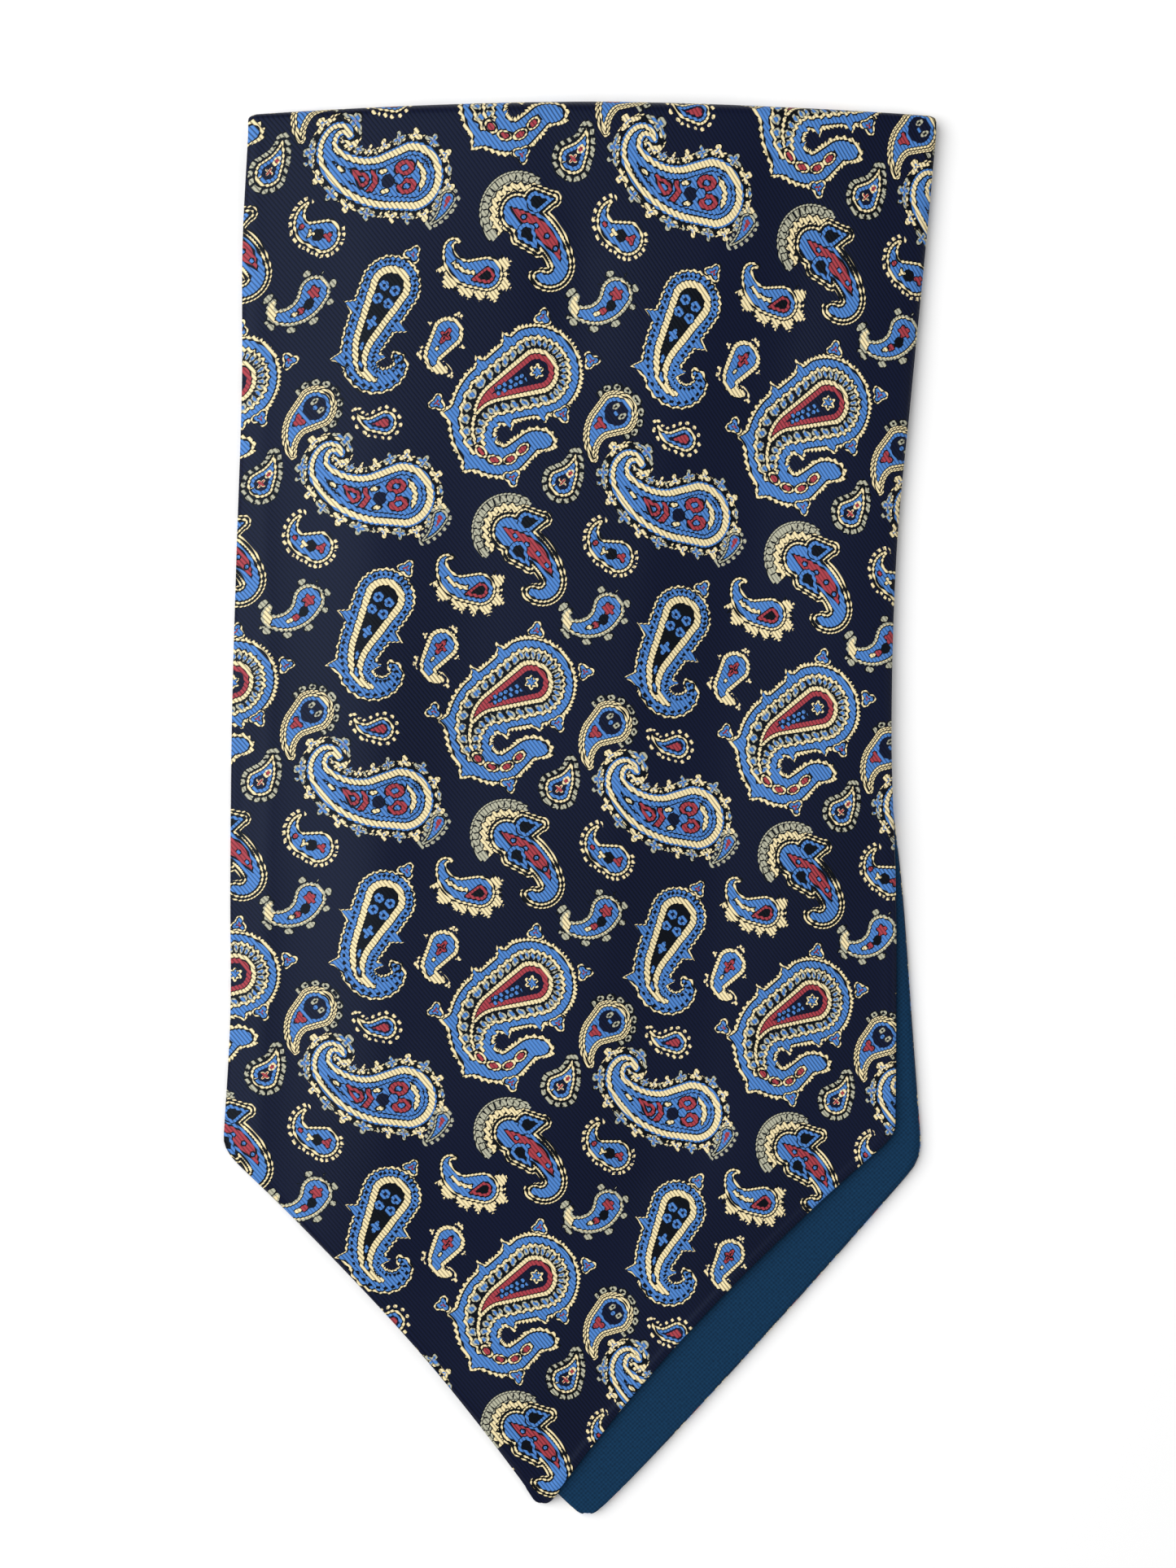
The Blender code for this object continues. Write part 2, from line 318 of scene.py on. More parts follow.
def reach(blade, up, side, inset=0.0):
    """How far a blade's edge lies from the middle line, on side -1 (left) or 1 (right)."""
    apex = blade.apex.x * side
    edge = along(blade.edges, up, "left" if side < 0 else "right") - inset
    slant = slanted(blade, up, side) - inset * TURNING_ON_POINT
    found = smooth_min(edge, apex + slant, SHOULDER_ROUND)
    tip = blade.tip_up + inset * TURNING_ON_POINT
    blunt = slanted(blade, tip, side) - inset * TURNING_ON_POINT
    into_tip = max(up - tip, 0.0)
    rounded = math.sqrt(max(slant**2 - blunt**2, 0.0)) if into_tip else 0.0
    if into_tip < TIP_RADIUS:
        rounded = max(rounded, math.sqrt(TIP_RADIUS**2 - (TIP_RADIUS - into_tip) ** 2))
    return min(found, apex + rounded)


def spread(count):
    """Places across a blade from -1 to 1, closer together near its edges."""
    return [0.6 * t + 0.4 * math.sin(math.pi / 2 * t) for t in (2 * k / count - 1 for k in range(count + 1))]


def rows_down(top, blade, step, inset=0.0):
    """Heights of a blade's rows, from top down to its tip, finer in the tip itself."""
    tip = blade.tip_up + inset * TURNING_ON_POINT
    fine_from = tip + TIP_RADIUS
    count = math.ceil((top - fine_from) / step)
    rows = [top + (fine_from - top) * k / count for k in range(count)]
    return rows + [tip + TIP_RADIUS * share for share in (1.0, 0.75, 0.52, 0.33, 0.18, 0.08, 0.03)]


def dome(v):
    """How far the fold falls back from its middle at a place v across."""
    return FOLD_DOME * abs(v) ** 1.4


def dome_at(v, up):
    return dome(v) * (1.0 - eased((FOLD_LINE - up) / 60.0))


def across(blade, up, v, inset=0.0, trim=0.0):
    """x of a place v across a blade."""
    left = -(reach(blade, up, -1, inset) - trim)
    right = reach(blade, up, 1, inset) - trim
    if left > right:
        return (left + right) / 2.0
    return left + (right - left) * (v + 1.0) / 2.0


def press(line, x, up):
    """How strongly a trough or crease acts at a point, from 0 to 1."""
    dx, du = line.x1 - line.x0, line.up1 - line.up0
    t = ((x - line.x0) * dx + (up - line.up0) * du) / (dx * dx + du * du)
    t = min(max(t, 0.0), 1.0)
    away = math.hypot(x - line.x0 - t * dx, up - line.up0 - t * du)
    return math.exp(-((away / line.reach) ** 2))


def lift(x, up):
    """How far the front blade stands above the bed of the rear blade and its lining."""
    left = along(BAND_SIDES, up, "left")
    right = along(BAND_SIDES, up, "right")
    side = min(x - left, right - x)
    plateau = eased((side + BAND_SKIRT) / (2 * BAND_SKIRT))
    plateau *= eased((up - BAND_GONE_BY) / (BAND_FULL_TO - BAND_GONE_BY))
    for trough in TROUGHS:
        plateau *= 1.0 - trough.share * press(trough, x, up)
    crown = FOLD_CROWN * max(1.0 - abs(x / HALF_WIDTH) ** 1.8, 0.0)
    rolled = 1.0 - eased((FOLD_LINE - up) / FOLD_LENGTH)
    mounds = 0.0
    for mound in MOUNDS:
        away = math.hypot(x - mound.x, up - mound.up) / mound.reach
        mounds += mound.height * math.exp(-away * away)
    return (BAND_LIFT * plateau + mounds) * (1.0 - rolled) + crown * rolled


def front_underside(x, up):
    """Height of the front blade's lower face, draped past the rear blade's edges."""
    inside = min(reach(REAR, up, -1) + x, reach(REAR, up, 1) - x)
    settled = eased((inside + DRAPE_OUT) / DRAPE_WIDTH)
    return GAP + (BED - GAP + lift(x, up)) * settled


def creases(x, up):
    """What the small creases take from the cloth's height."""
    return sum(crease.depth * press(crease, x, up) for crease in FRONT_CREASES)


def print_place(x, up):
    """Where a point of the cloth lies on the undistorted print, in millimetres.

    The blade was laid a little askew, so its print leans and closes up towards
    the middle trough. across and down are the point's shares of the blade.
    """
    right = x / 80.0
    top = min(max(up, -165.0), 165.0) / 160.0
    aside = 3.5 * right - 0.5 * top + 3.2 * right**2 - 3.7 * right * top - 3.1 * top**2
    aside += 1.0 * right**3 - 1.8 * right**2 * top + 0.6 * right * top**2 - 0.5 * top**3
    upward = 6.1 * right + 4.6 * top + 2.6 * right**2 + 1.1 * right * top - 5.5 * top**2
    upward += -2.0 * right**3 + 4.6 * right**2 * top - 2.5 * right * top**2 - 2.9 * top**3
    return x + aside, up + upward


def cloth_sheet(name, middle, places, thickness, skin_of_inner=None):
    """A closed thin sheet of cloth round a grid of points on its middle surface.

    middle and places are arrays of rows by columns: points in millimetres, and
    where they lie on the cut. The rows run down and the columns to the right, so
    the outer face looks up. skin_of_inner gives the inner faces' material numbers.
    """
    rows, columns = middle.shape[:2]
    down, aside = np.gradient(middle, axis=0), np.gradient(middle, axis=1)
    normal = np.cross(down, aside)
    normal /= np.maximum(np.linalg.norm(normal, axis=2, keepdims=True), 1e-9)
    outer = middle + normal * thickness / 2
    inner = middle - normal * thickness / 2
    count = rows * columns
    index = np.arange(count).reshape(rows, columns)
    ring = np.concatenate([index[0, :], index[1:, -1], index[-1, -2::-1], index[-2:0:-1, 0]])
    flat = middle.reshape(-1, 3)
    inside = np.concatenate(
        [index[1, :], index[1:, -2], index[-2, -2::-1], index[-2:0:-1, 1]]
    )
    outward = flat[ring] - flat[inside]
    outward /= np.maximum(np.linalg.norm(outward, axis=1, keepdims=True), 1e-9)
    rim = flat[ring] + outward * thickness * 0.35
    points = np.concatenate([outer.reshape(-1, 3), inner.reshape(-1, 3), rim])

    length = np.concatenate([[0], np.cumsum(np.linalg.norm(np.diff(middle[:, columns // 2], axis=0), axis=1))])
    share_down = 1 - length / length[-1]
    share_across = np.linspace(0, 1, columns)
    top_chart = np.stack(
        np.broadcast_arrays(0.012 + 0.756 * share_across[None, :], 0.008 + 0.984 * share_down[:, None]), -1
    )
    under_chart = np.stack(
        np.broadcast_arrays(0.8 + 0.19 * share_across[None, :], 0.008 + 0.984 * share_down[:, None]), -1
    )
    cut = places.reshape(-1, 2) * MM
    faces, cut_uv, bake_uv, skins = [], [], [], []
    a, b = index[:-1, :-1].ravel(), index[:-1, 1:].ravel()
    c, d = index[1:, 1:].ravel(), index[1:, :-1].ravel()
    top_flat, under_flat = top_chart.reshape(-1, 2), under_chart.reshape(-1, 2)
    for quad in zip(a, d, c, b):
        faces.append(quad)
        cut_uv += [cut[i] for i in quad]
        bake_uv += [top_flat[i] for i in quad]
        skins.append(0)
    for k, quad in enumerate(zip(a, b, c, d)):
        faces.append(tuple(i + count for i in quad))
        cut_uv += [cut[i] for i in quad]
        bake_uv += [under_flat[i] for i in quad]
        skins.append(int(skin_of_inner[k // (columns - 1), k % (columns - 1)]) if skin_of_inner is not None else 0)
    for k in range(len(ring)):
        i, j = ring[k], ring[(k + 1) % len(ring)]
        p, q = 2 * count + k, 2 * count + (k + 1) % len(ring)
        start, end = k / len(ring), (k + 1) / len(ring)
        for quad, low, high in (((i, j, q, p), 0.992, 0.994), ((p, q, j + count, i + count), 0.996, 0.998)):
            faces.append(quad)
            cut_uv += [cut[i], cut[j], cut[j], cut[i]]
            bake_uv += [(low, start), (low, end), (high, end), (high, start)]
            skins.append(0)
    middle_x, middle_y = OUTLINE_MIDDLE
    placed = (points - np.array([middle_x, middle_y, 0])) * MM
    mesh = bpy.data.meshes.new(name)
    mesh.from_pydata(placed.tolist(), [], [tuple(int(i) for i in face) for face in faces])
    for title, corners in ((CUT_MAP, cut_uv), (BAKE_MAP, bake_uv)):
        layer = mesh.uv_layers.new(name=title)
        layer.data.foreach_set("uv", np.array(corners, dtype=np.float32).ravel())
    mesh.polygons.foreach_set("material_index", skins)
    mesh.shade_smooth()
    mesh.update()
    piece = bpy.data.objects.new(name, mesh)
    bpy.context.scene.collection.objects.link(piece)
    return piece


def share_of_area(piece):
    """Half of a closed sheet's surface, in square metres."""
    return sum(face.area for face in piece.data.polygons) / 2


def add_node(tree, kind, inputs=(), **settings):
    """Adds one node, with its settings, and its inputs as links or values."""
    node = tree.nodes.new(kind)
    for name, value in settings.items():
        setattr(node, name, value)
    for socket, value in inputs.items() if isinstance(inputs, dict) else enumerate(inputs):
        if isinstance(value, bpy.types.NodeSocket):
            tree.links.new(value, node.inputs[socket])
        elif value is not None:
            node.inputs[socket].default_value = value
    return node


SIGNS = {
    ast.Add: ("ADD", operator.add),
    ast.Sub: ("SUBTRACT", operator.sub),
    ast.Mult: ("MULTIPLY", operator.mul),
    ast.Div: ("DIVIDE", operator.truediv),
    ast.Pow: ("POWER", operator.pow),
}
WORDS = {
    "lower": "MINIMUM",
    "higher": "MAXIMUM",
    "size": "ABSOLUTE",
    "sine": "SINE",
    "cosine": "COSINE",
    "angle": "ARCTAN2",
    "root": "SQRT",
    "zigzag": "PINGPONG",
    "wrapped": "WRAP",
    "rest": "FLOORED_MODULO",
    "below": "LESS_THAN",
    "above": "GREATER_THAN",
    "whole": "FLOOR",
    "joined": "SMOOTH_MIN",
}


def is_product(part):
    return isinstance(part, ast.BinOp) and isinstance(part.op, ast.Mult)


def reading(tree, known, part):
    """The value of one part of a formula: a number, or the output of the Math node added for it."""
    if isinstance(part, ast.Constant):
        return float(part.value)
    if isinstance(part, ast.Name):
        return known[part.id]
    if isinstance(part, ast.UnaryOp):
        value = reading(tree, known, part.operand)
        if isinstance(value, float):
            return -value
        return add_node(tree, "ShaderNodeMath", (value, -1.0), operation="MULTIPLY").outputs[0]
    if isinstance(part, ast.Call):
        values = [reading(tree, known, value) for value in part.args]
        return add_node(tree, "ShaderNodeMath", values, operation=WORDS[part.func.id]).outputs[0]
    if isinstance(part.op, ast.Add) and (is_product(part.left) or is_product(part.right)):
        product, other = (part.left, part.right) if is_product(part.left) else (part.right, part.left)
        values = [reading(tree, known, value) for value in (product.left, product.right, other)]
        if isinstance(values[0], float) and isinstance(values[1], float):
            values = [values[0] * values[1], 1.0, values[2]]
        return add_node(tree, "ShaderNodeMath", values, operation="MULTIPLY_ADD").outputs[0]
    operation, on_numbers = SIGNS[type(part.op)]
    values = [reading(tree, known, part.left), reading(tree, known, part.right)]
    if all(isinstance(value, float) for value in values):
        return on_numbers(*values)
    return add_node(tree, "ShaderNodeMath", values, operation=operation).outputs[0]


def chart(tree, known, text):
    """Adds the Math nodes of lines such as "far = root(x * x + y * y)" and keeps their results by name."""
    for line in ast.parse(text).body:
        known[line.targets[0].id] = reading(tree, known, line.value)
    return known


def paint(tree, cloth, field, bands):
    """Lays bands of colour on the cloth by how large a field is, and leaves the cloth bare past them.

    bands are (up to, colour) from the smallest value on. The first one has no lower end.
    """
    low = bands[0][0] - 1.0
    high = bands[-1][0]
    share = add_node(
        tree, "ShaderNodeMath", (field, 1 / (high - low), -low / (high - low)), operation="MULTIPLY_ADD"
    )
    ramp = add_node(tree, "ShaderNodeValToRGB", (share.outputs[0],))
    ramp.color_ramp.interpolation = "CONSTANT"
    stops = ramp.color_ramp.elements
    stops.remove(stops[1])
    start = 0.0
    for limit, colour in bands:
        stop = stops.new(start) if start else stops[0]
        stop.color = (0, 0, 0, 0) if colour is None else (*colour, 1)
        start = (limit - low) / (high - low)
    stops.new(0.9999).color = (0, 0, 0, 0)
    inputs = {0: ramp.outputs["Alpha"], 6: cloth, 7: ramp.outputs["Color"]}
    return add_node(tree, "ShaderNodeMix", inputs, data_type="RGBA").outputs[2]


Palette = namedtuple("Palette", "navy ink blue cream pearl red")

# A motif's drop: centre of its head, the way its tail starts, radii of head and tip, length, how
# hollow its sides are (0 is straight, below 0 full), and where along it each arc of its middle
# starts, with the radius of the arc (below zero it bends back)
Drop = namedtuple("Drop", "centre turn mirrored head tip length waist bends")

# half the width of a drop at a place along it, and how far outside its edge a point is
OUTSIDE = """
width = head + held * (narrows + held * hollow)
outside = root(over * over + aside * aside) - width
"""
STRAIGHT = """
held = lower(higher(x, 0), end)
over = x - held
aside = y
"""
ARC = """
ahead = x * cos + (y * sin + ahead_from)
away = y * cos_away + (x * sin_away + away_from)
along = angle(ahead, away) * radius + start
held = lower(higher(along, start), end)
over = along - held
aside = root(ahead * ahead + away * away) * inward + bend
"""
NEARER = """
chosen = below(outside, least)
s = (along - s) * chosen + s
n = (aside - n) * chosen + n
least = lower(outside, least)
"""
RIM = """
held = lower(higher(s, 0), end)
over = s - held
reached = root(over * over + n * n)
rim = reached - (head + held * (narrows + held * hollow))
way = head * angle(lower(s, 0), size(n)) + higher(s, 0)
"""


def own_place(tree, place, repeat, centre, turn, mirrored):
    """x and y of every repeat of a motif, in millimetres along and across it from its centre."""
    half = [side / 2 for side in repeat]
    most = (centre[0] + half[0], centre[1] + half[1], 0)
    least = (centre[0] - half[0], centre[1] - half[1], 0)
    near = add_node(tree, "ShaderNodeVectorMath", (place, most, least), operation="WRAP")
    own = add_node(
        tree,
        "ShaderNodeMapping",
        {
            "Vector": near.outputs[0],
            "Location": (*centre, 0),
            "Rotation": (0, 0, math.radians(turn)),
            "Scale": (1, -1 if mirrored else 1, 1),
        },
        vector_type="TEXTURE",
    )
    split = add_node(tree, "ShaderNodeSeparateXYZ", (own.outputs[0],))
    return {"x": split.outputs["X"], "y": split.outputs["Y"]}


def motif(tree, place, repeat, drop):
    """The fields of a drop, the same in every repeat of the print, in millimetres.

    x and y run along and across it from its head, s and n do so along its bent
    middle, rim is the distance outside its outline and way the distance round it.
    """
    field = own_place(tree, place, repeat, drop.centre, drop.turn, drop.mirrored)
    swell = drop.head - drop.tip
    field.update(
        s=field["x"],
        n=field["y"],
        head=drop.head,
        narrows=-swell * (1 + drop.waist) / drop.length,
        hollow=swell * drop.waist / drop.length**2,
        end=float(drop.bends[0][0]),
    )
    chart(tree, field, STRAIGHT + OUTSIDE + "least = outside")
    ends = [start for start, _ in drop.bends[1:]] + [drop.length]
    at = np.array((drop.bends[0][0], 0.0))
    heading = 0.0
    for (start, bend), end in zip(drop.bends, ends):
        ahead = np.array((math.cos(heading), math.sin(heading)))
        aside = np.array((-ahead[1], ahead[0]))
        middle = at + aside * bend
        back = math.copysign(1.0, bend)
        field.update(
            cos=float(ahead[0]),
            sin=float(ahead[1]),
            ahead_from=-float(middle @ ahead),
            cos_away=-back * float(aside[1]),
            sin_away=-back * float(aside[0]),
            away_from=back * float(middle @ aside),
            start=float(start),
            end=float(end),
            radius=abs(bend),
            bend=float(bend),
            inward=-back,
        )
        chart(tree, field, ARC + OUTSIDE + NEARER)
        heading += (end - start) / bend
        at = middle + bend * np.array((math.sin(heading), -math.cos(heading)))
    return chart(tree, field, RIM)


def great_drop(tree, cloth, place, repeat, tint):
    """Wide cream rim round a blue drop with red curls, in a fringe of small flowers."""
    drop = Drop((-40.8, 68.3), 188.0, True, 7.2, 0.9, 30.0, 0.1, ((4.0, 15.0), (19.5, 4.2), (25.5, 2.2)))
    field = motif(tree, place, repeat, drop)
    chart(
        tree,
        field,
        """
cell = rest(way, 3.4) - 1.7
out = rim - 1.5
petals = root(cell * cell + out * out) - 0.95 - 0.5 * cosine(3 * angle(cell, out))
odd = rest(way + 1.7, 6.8) - 3.4
stars = root(odd * odd + out * out) - 1.0 - 0.5 * cosine(4 * angle(odd, out))
gap = rest(way + 1.7, 3.4) - 1.7
arches = root(gap * gap + (rim - 0.3) * (rim - 0.3))
scallop = rim - held * 0.02 + 0.3 * zigzag(way, 0.5)
inner = rim + held * 0.02 + 0.3 * zigzag(way + 0.25, 0.5)
yy = size(y - 0.15)
dark = root((x - 5) * (x - 5) + y * y)
curl = root((x - 1.05) * (x - 1.05) + (yy - 1.95) * (yy - 1.95) * 1.8)
heart = root((x - 2.6) * (x - 2.6) + y * y)
crest = higher(size(root((x - 0.6) * (x - 0.6) + y * y) - 3.6 + 0.4 * zigzag(y, 0.55)), x + 2.3)
leaf = root((x - 5.9) * (x - 5.9) * 0.3 + (yy - 2.1) * (yy - 2.1))
forked = higher(size(s - 7.7 - 0.5 * size(n)), size(n) - 1.6)
step = lower(higher((s - 10.8) / 3, 0), 1)
along_drop = s - 10.8 - 3 * step
aside_drop = n + 0.1 - 1.2 * step
ringed = root(along_drop * along_drop + aside_drop * aside_drop) + step * 1.2
sliver = root((s - 16.4) * (s - 16.4) * 0.2 + n * n)
""",
    )
    cloth = paint(tree, cloth, field["arches"], ((1.2, tint.ink), (1.45, tint.cream), (1.6, tint.ink)))
    cloth = paint(tree, cloth, field["petals"], ((-0.9, tint.blue), (0.0, tint.cream), (0.2, tint.ink)))
    cloth = paint(
        tree, cloth, field["stars"], ((-1.3, tint.red), (-0.45, tint.blue), (0.05, tint.pearl), (0.3, tint.ink))
    )
    cloth = paint(tree, cloth, field["rim"], ((-0.3, tint.cream), (0.05, tint.blue), (0.3, tint.ink)))
    cloth = paint(tree, cloth, field["scallop"], ((-1.9, tint.blue), (-1.6, tint.ink)))
    cloth = paint(tree, cloth, field["inner"], ((-2.75, None), (-2.5, tint.ink)))
    cloth = paint(tree, cloth, field["dark"], ((1.5, tint.navy),))
    cloth = paint(
        tree, cloth, field["curl"], ((0.7, tint.blue), (1.0, tint.ink), (2.1, tint.red), (2.45, tint.ink))
    )
    cloth = paint(tree, cloth, field["heart"], ((1.0, tint.blue), (1.25, tint.ink)))
    cloth = paint(tree, cloth, field["crest"], ((0.5, tint.cream), (0.75, tint.ink)))
    cloth = paint(tree, cloth, field["leaf"], ((0.45, tint.cream), (0.7, tint.ink)))
    cloth = paint(tree, cloth, field["forked"], ((0.55, tint.red), (0.85, tint.ink)))
    cloth = paint(
        tree, cloth, field["ringed"], ((0.45, tint.blue), (0.75, tint.ink), (1.45, tint.red), (1.8, tint.ink))
    )
    return paint(tree, cloth, field["sliver"], ((0.4, tint.cream), (0.65, tint.ink)))


def bead_drop(tree, cloth, place, repeat, tint):
    """Small drop in a cream line, inside a string of square grey beads."""
    drop = Drop((-4.9, 72.5), 50.0, False, 3.4, 0.3, 7.0, 0.1, ((1.0, 9.0),))
    field = motif(tree, place, repeat, drop)
    chart(
        tree,
        field,
        """
cell = rest(way, 1.43) - 0.715
bead = higher(size(cell), size(rim - 0.75))
cross = root(x * x + y * y) - 0.75 - 0.35 * cosine(4 * angle(y, x))
grain = root((x - 2.6) * (x - 2.6) * 0.5 + y * y)
""",
    )
    cloth = paint(
        tree,
        cloth,
        field["rim"],
        ((-1.75, tint.navy), (-1.0, tint.blue), (-0.75, tint.ink), (-0.3, tint.cream), (1.4, tint.ink)),
    )
    cloth = paint(tree, cloth, field["bead"], ((0.47, tint.pearl),))
    cloth = paint(tree, cloth, field["cross"], ((-0.2, tint.red), (0.0, tint.cream)))
    return paint(tree, cloth, field["grain"], ((0.4, tint.red), (0.75, tint.cream)))


def rayed_drop(tree, cloth, place, repeat, tint):
    """Blue drop in a cream line, with short cream rays below it."""
    drop = Drop((-59.6, 57.2), 165.0, True, 3.7, 0.5, 11.2, 0.1, ((3.0, 3.6),))
    field = motif(tree, place, repeat, drop)
    chart(
        tree,
        field,
        """
cell = rest(way, 1.1) - 0.55
ray = higher(higher(size(cell) * 1.6, size(rim - 0.65) * 1.3), n - higher(s * -1, 0) * 0.6)
dark = root((x - 1.5) * (x - 1.5) + y * y)
trefoil = root((x + 0.9) * (x + 0.9) + y * y) - 0.8 - 0.3 * cosine(3 * angle(y, x + 0.9))
star = root((x - 3.2) * (x - 3.2) + y * y) - 0.6 + 0.3 * cosine(3 * angle(y, x - 3.2))
dot = root((s - 5.9) * (s - 5.9) + n * n)
""",
    )
    cloth = paint(tree, cloth, field["ray"], ((0.48, tint.cream),))
    cloth = paint(
        tree, cloth, field["rim"], ((-0.85, tint.blue), (-0.55, tint.ink), (-0.1, tint.cream), (0.2, tint.ink))
    )
    cloth = paint(tree, cloth, field["dark"], ((1.35, tint.ink),))
    cloth = paint(tree, cloth, field["trefoil"], ((0.05, tint.red), (0.3, tint.ink)))
    cloth = paint(tree, cloth, field["star"], ((0.05, tint.cream), (0.3, tint.ink)))
    return paint(tree, cloth, field["dot"], ((0.5, tint.red), (0.75, tint.ink)))


def knobbed_drop(tree, cloth, place, repeat, tint):
    """Blue drop in a thick, toothed cream rim with knobs and a hooked tail."""
    drop = Drop((-61.5, 45.3), 246.0, True, 3.5, 0.6, 14.5, -0.1, ((1.0, 6.5), (10.5, 1.9)))
    field = motif(tree, place, repeat, drop)
    chart(
        tree,
        field,
        """
toothed = rim - 0.5 * zigzag(way, 0.4)
blue_drop = higher(rim + 0.75, s - 10.5)
cell = rest(way + 1.0, 3.4) - 1.7
knob = root(cell * cell + (rim - 1.0) * (rim - 1.0)) + above(n * above(s, 0), 0)
dark = root((x - 2.7) * (x - 2.7) * 0.7 + y * y)
rose = root(x * x + y * y) - 1.2 - 0.25 * cosine(5 * angle(y, x))
leaf = root((s - 4.9) * (s - 4.9) * 0.6 + n * n)
pale = root((s - 6.4) * (s - 6.4) * 0.4 + n * n)
""",
    )
    cloth = paint(tree, cloth, field["knob"], ((0.65, tint.pearl), (0.85, tint.ink)))
    cloth = paint(tree, cloth, field["toothed"], ((-0.4, tint.cream), (0.0, tint.pearl), (0.25, tint.ink)))
    cloth = paint(tree, cloth, field["blue_drop"], ((0.0, tint.blue), (0.25, tint.ink)))
    cloth = paint(tree, cloth, field["dark"], ((1.1, tint.ink),))
    cloth = paint(tree, cloth, field["rose"], ((0.0, tint.red), (0.25, tint.ink)))
    cloth = paint(tree, cloth, field["leaf"], ((0.65, tint.red), (0.9, tint.ink)))
    return paint(tree, cloth, field["pale"], ((0.45, tint.cream), (0.65, tint.ink)))


def petal_drop(tree, cloth, place, repeat, tint):
    """Hooked drop: a toothed cream ring round four blue petals, in a dotted blue band."""
    drop = Drop((-44.5, 45.2), 243.0, False, 6.7, 1.2, 32.0, -0.25, ((11.0, 12.0), (17.0, 4.7), (29.0, 2.0)))
    field = motif(tree, place, repeat, drop)
    chart(
        tree,
        field,
        """
spur = higher(1 - size(rest(s - 2.2, 9.5) - 4.75) * 0.6, 0)
wavy = rim - 0.55 * zigzag(way, 0.7) - 2.6 * spur * spur * above(s, 2) * below(s, 19)
cream_held = lower(held, 23)
ring = root((s - cream_held) * (s - cream_held) + n * n) + cream_held * 0.175 - 4.4 - 0.5 * zigzag(way, 0.35)
hollow = reached + held * 0.165 - 3.05
dotted = rest(way, 1.3) - 0.65
dots = root(dotted * dotted + (rim + 1.2) * (rim + 1.2))
petal_along = size(x - 1.8) - 1.5
petal_across = size(y) - 1.35
petals = root(petal_along * petal_along + petal_across * petal_across)
star = root((x - 8.4) * (x - 8.4) * 0.6 + y * y) - 0.95 - 0.3 * cosine(4 * angle(y, x - 8.4))
bud = root((rest(s, 4) - 2) * (rest(s, 4) - 2) * 0.12 + n * n) + above(13, s) + above(s, 20)
""",
    )
    cloth = paint(
        tree,
        cloth,
        field["wavy"],
        ((-0.75, tint.blue), (-0.45, tint.ink), (-0.1, tint.cream), (0.15, tint.ink)),
    )
    cloth = paint(tree, cloth, field["dots"], ((0.38, tint.ink),))
    cloth = paint(tree, cloth, field["ring"], ((0.0, tint.cream), (0.25, tint.ink)))
    cloth = paint(tree, cloth, field["hollow"], ((0.0, tint.ink),))
    cloth = paint(tree, cloth, field["petals"], ((0.4, tint.navy), (1.1, tint.blue), (1.3, tint.ink)))
    cloth = paint(tree, cloth, field["star"], ((0.0, tint.blue), (0.3, tint.ink)))
    return paint(tree, cloth, field["bud"], ((0.35, tint.blue), (0.6, tint.ink)))


def fan_drop(tree, cloth, place, repeat, tint):
    """Blue drop holding a red ring, on a fan of cream fronds."""
    drop = Drop((-23.3, 47.9), 180.0, True, 3.6, 0.4, 14.6, -0.2, ((3.0, 5.5), (11.5, 1.5)))
    field = motif(tree, place, repeat, drop)
    chart(
        tree,
        field,
        """
lobe = zigzag(way, 1.3)
frond = rim - 0.7 - 2.6 * root(lobe * 0.75) + 1.9 * zigzag(rim + lobe * 0.8, 0.45)
below_axis = higher(n - higher(s * -1, 0) * 1.2 - 0.1, s - 9)
fan = higher(frond, below_axis) + 0.3
eye = higher(root(lobe * lobe * 3 + (rim - 1.5) * (rim - 1.5) * 0.3), below_axis)
step = lower(higher(x / 3.2, 0), 1)
along_drop = x + 0.2 - 3.2 * step
aside_drop = y + 0.3 + step
ringed = root(along_drop * along_drop + aside_drop * aside_drop) + step * 1.5
strip = higher(size(n - 0.2) + 0.35 * zigzag(s, 0.7), size(s - 5.4) - 2.3)
""",
    )
    cloth = paint(tree, cloth, field["fan"], ((0.0, tint.cream), (0.15, tint.ink)))
    cloth = paint(tree, cloth, field["eye"], ((0.3, tint.ink),))
    cloth = paint(
        tree, cloth, field["rim"], ((-0.65, tint.blue), (-0.4, tint.ink), (0.0, tint.cream), (0.3, tint.ink))
    )
    cloth = paint(tree, cloth, field["strip"], ((0.5, tint.cream), (0.75, tint.ink)))
    return paint(tree, cloth, field["ringed"], ((1.05, tint.ink), (1.65, tint.red), (1.95, tint.ink)))


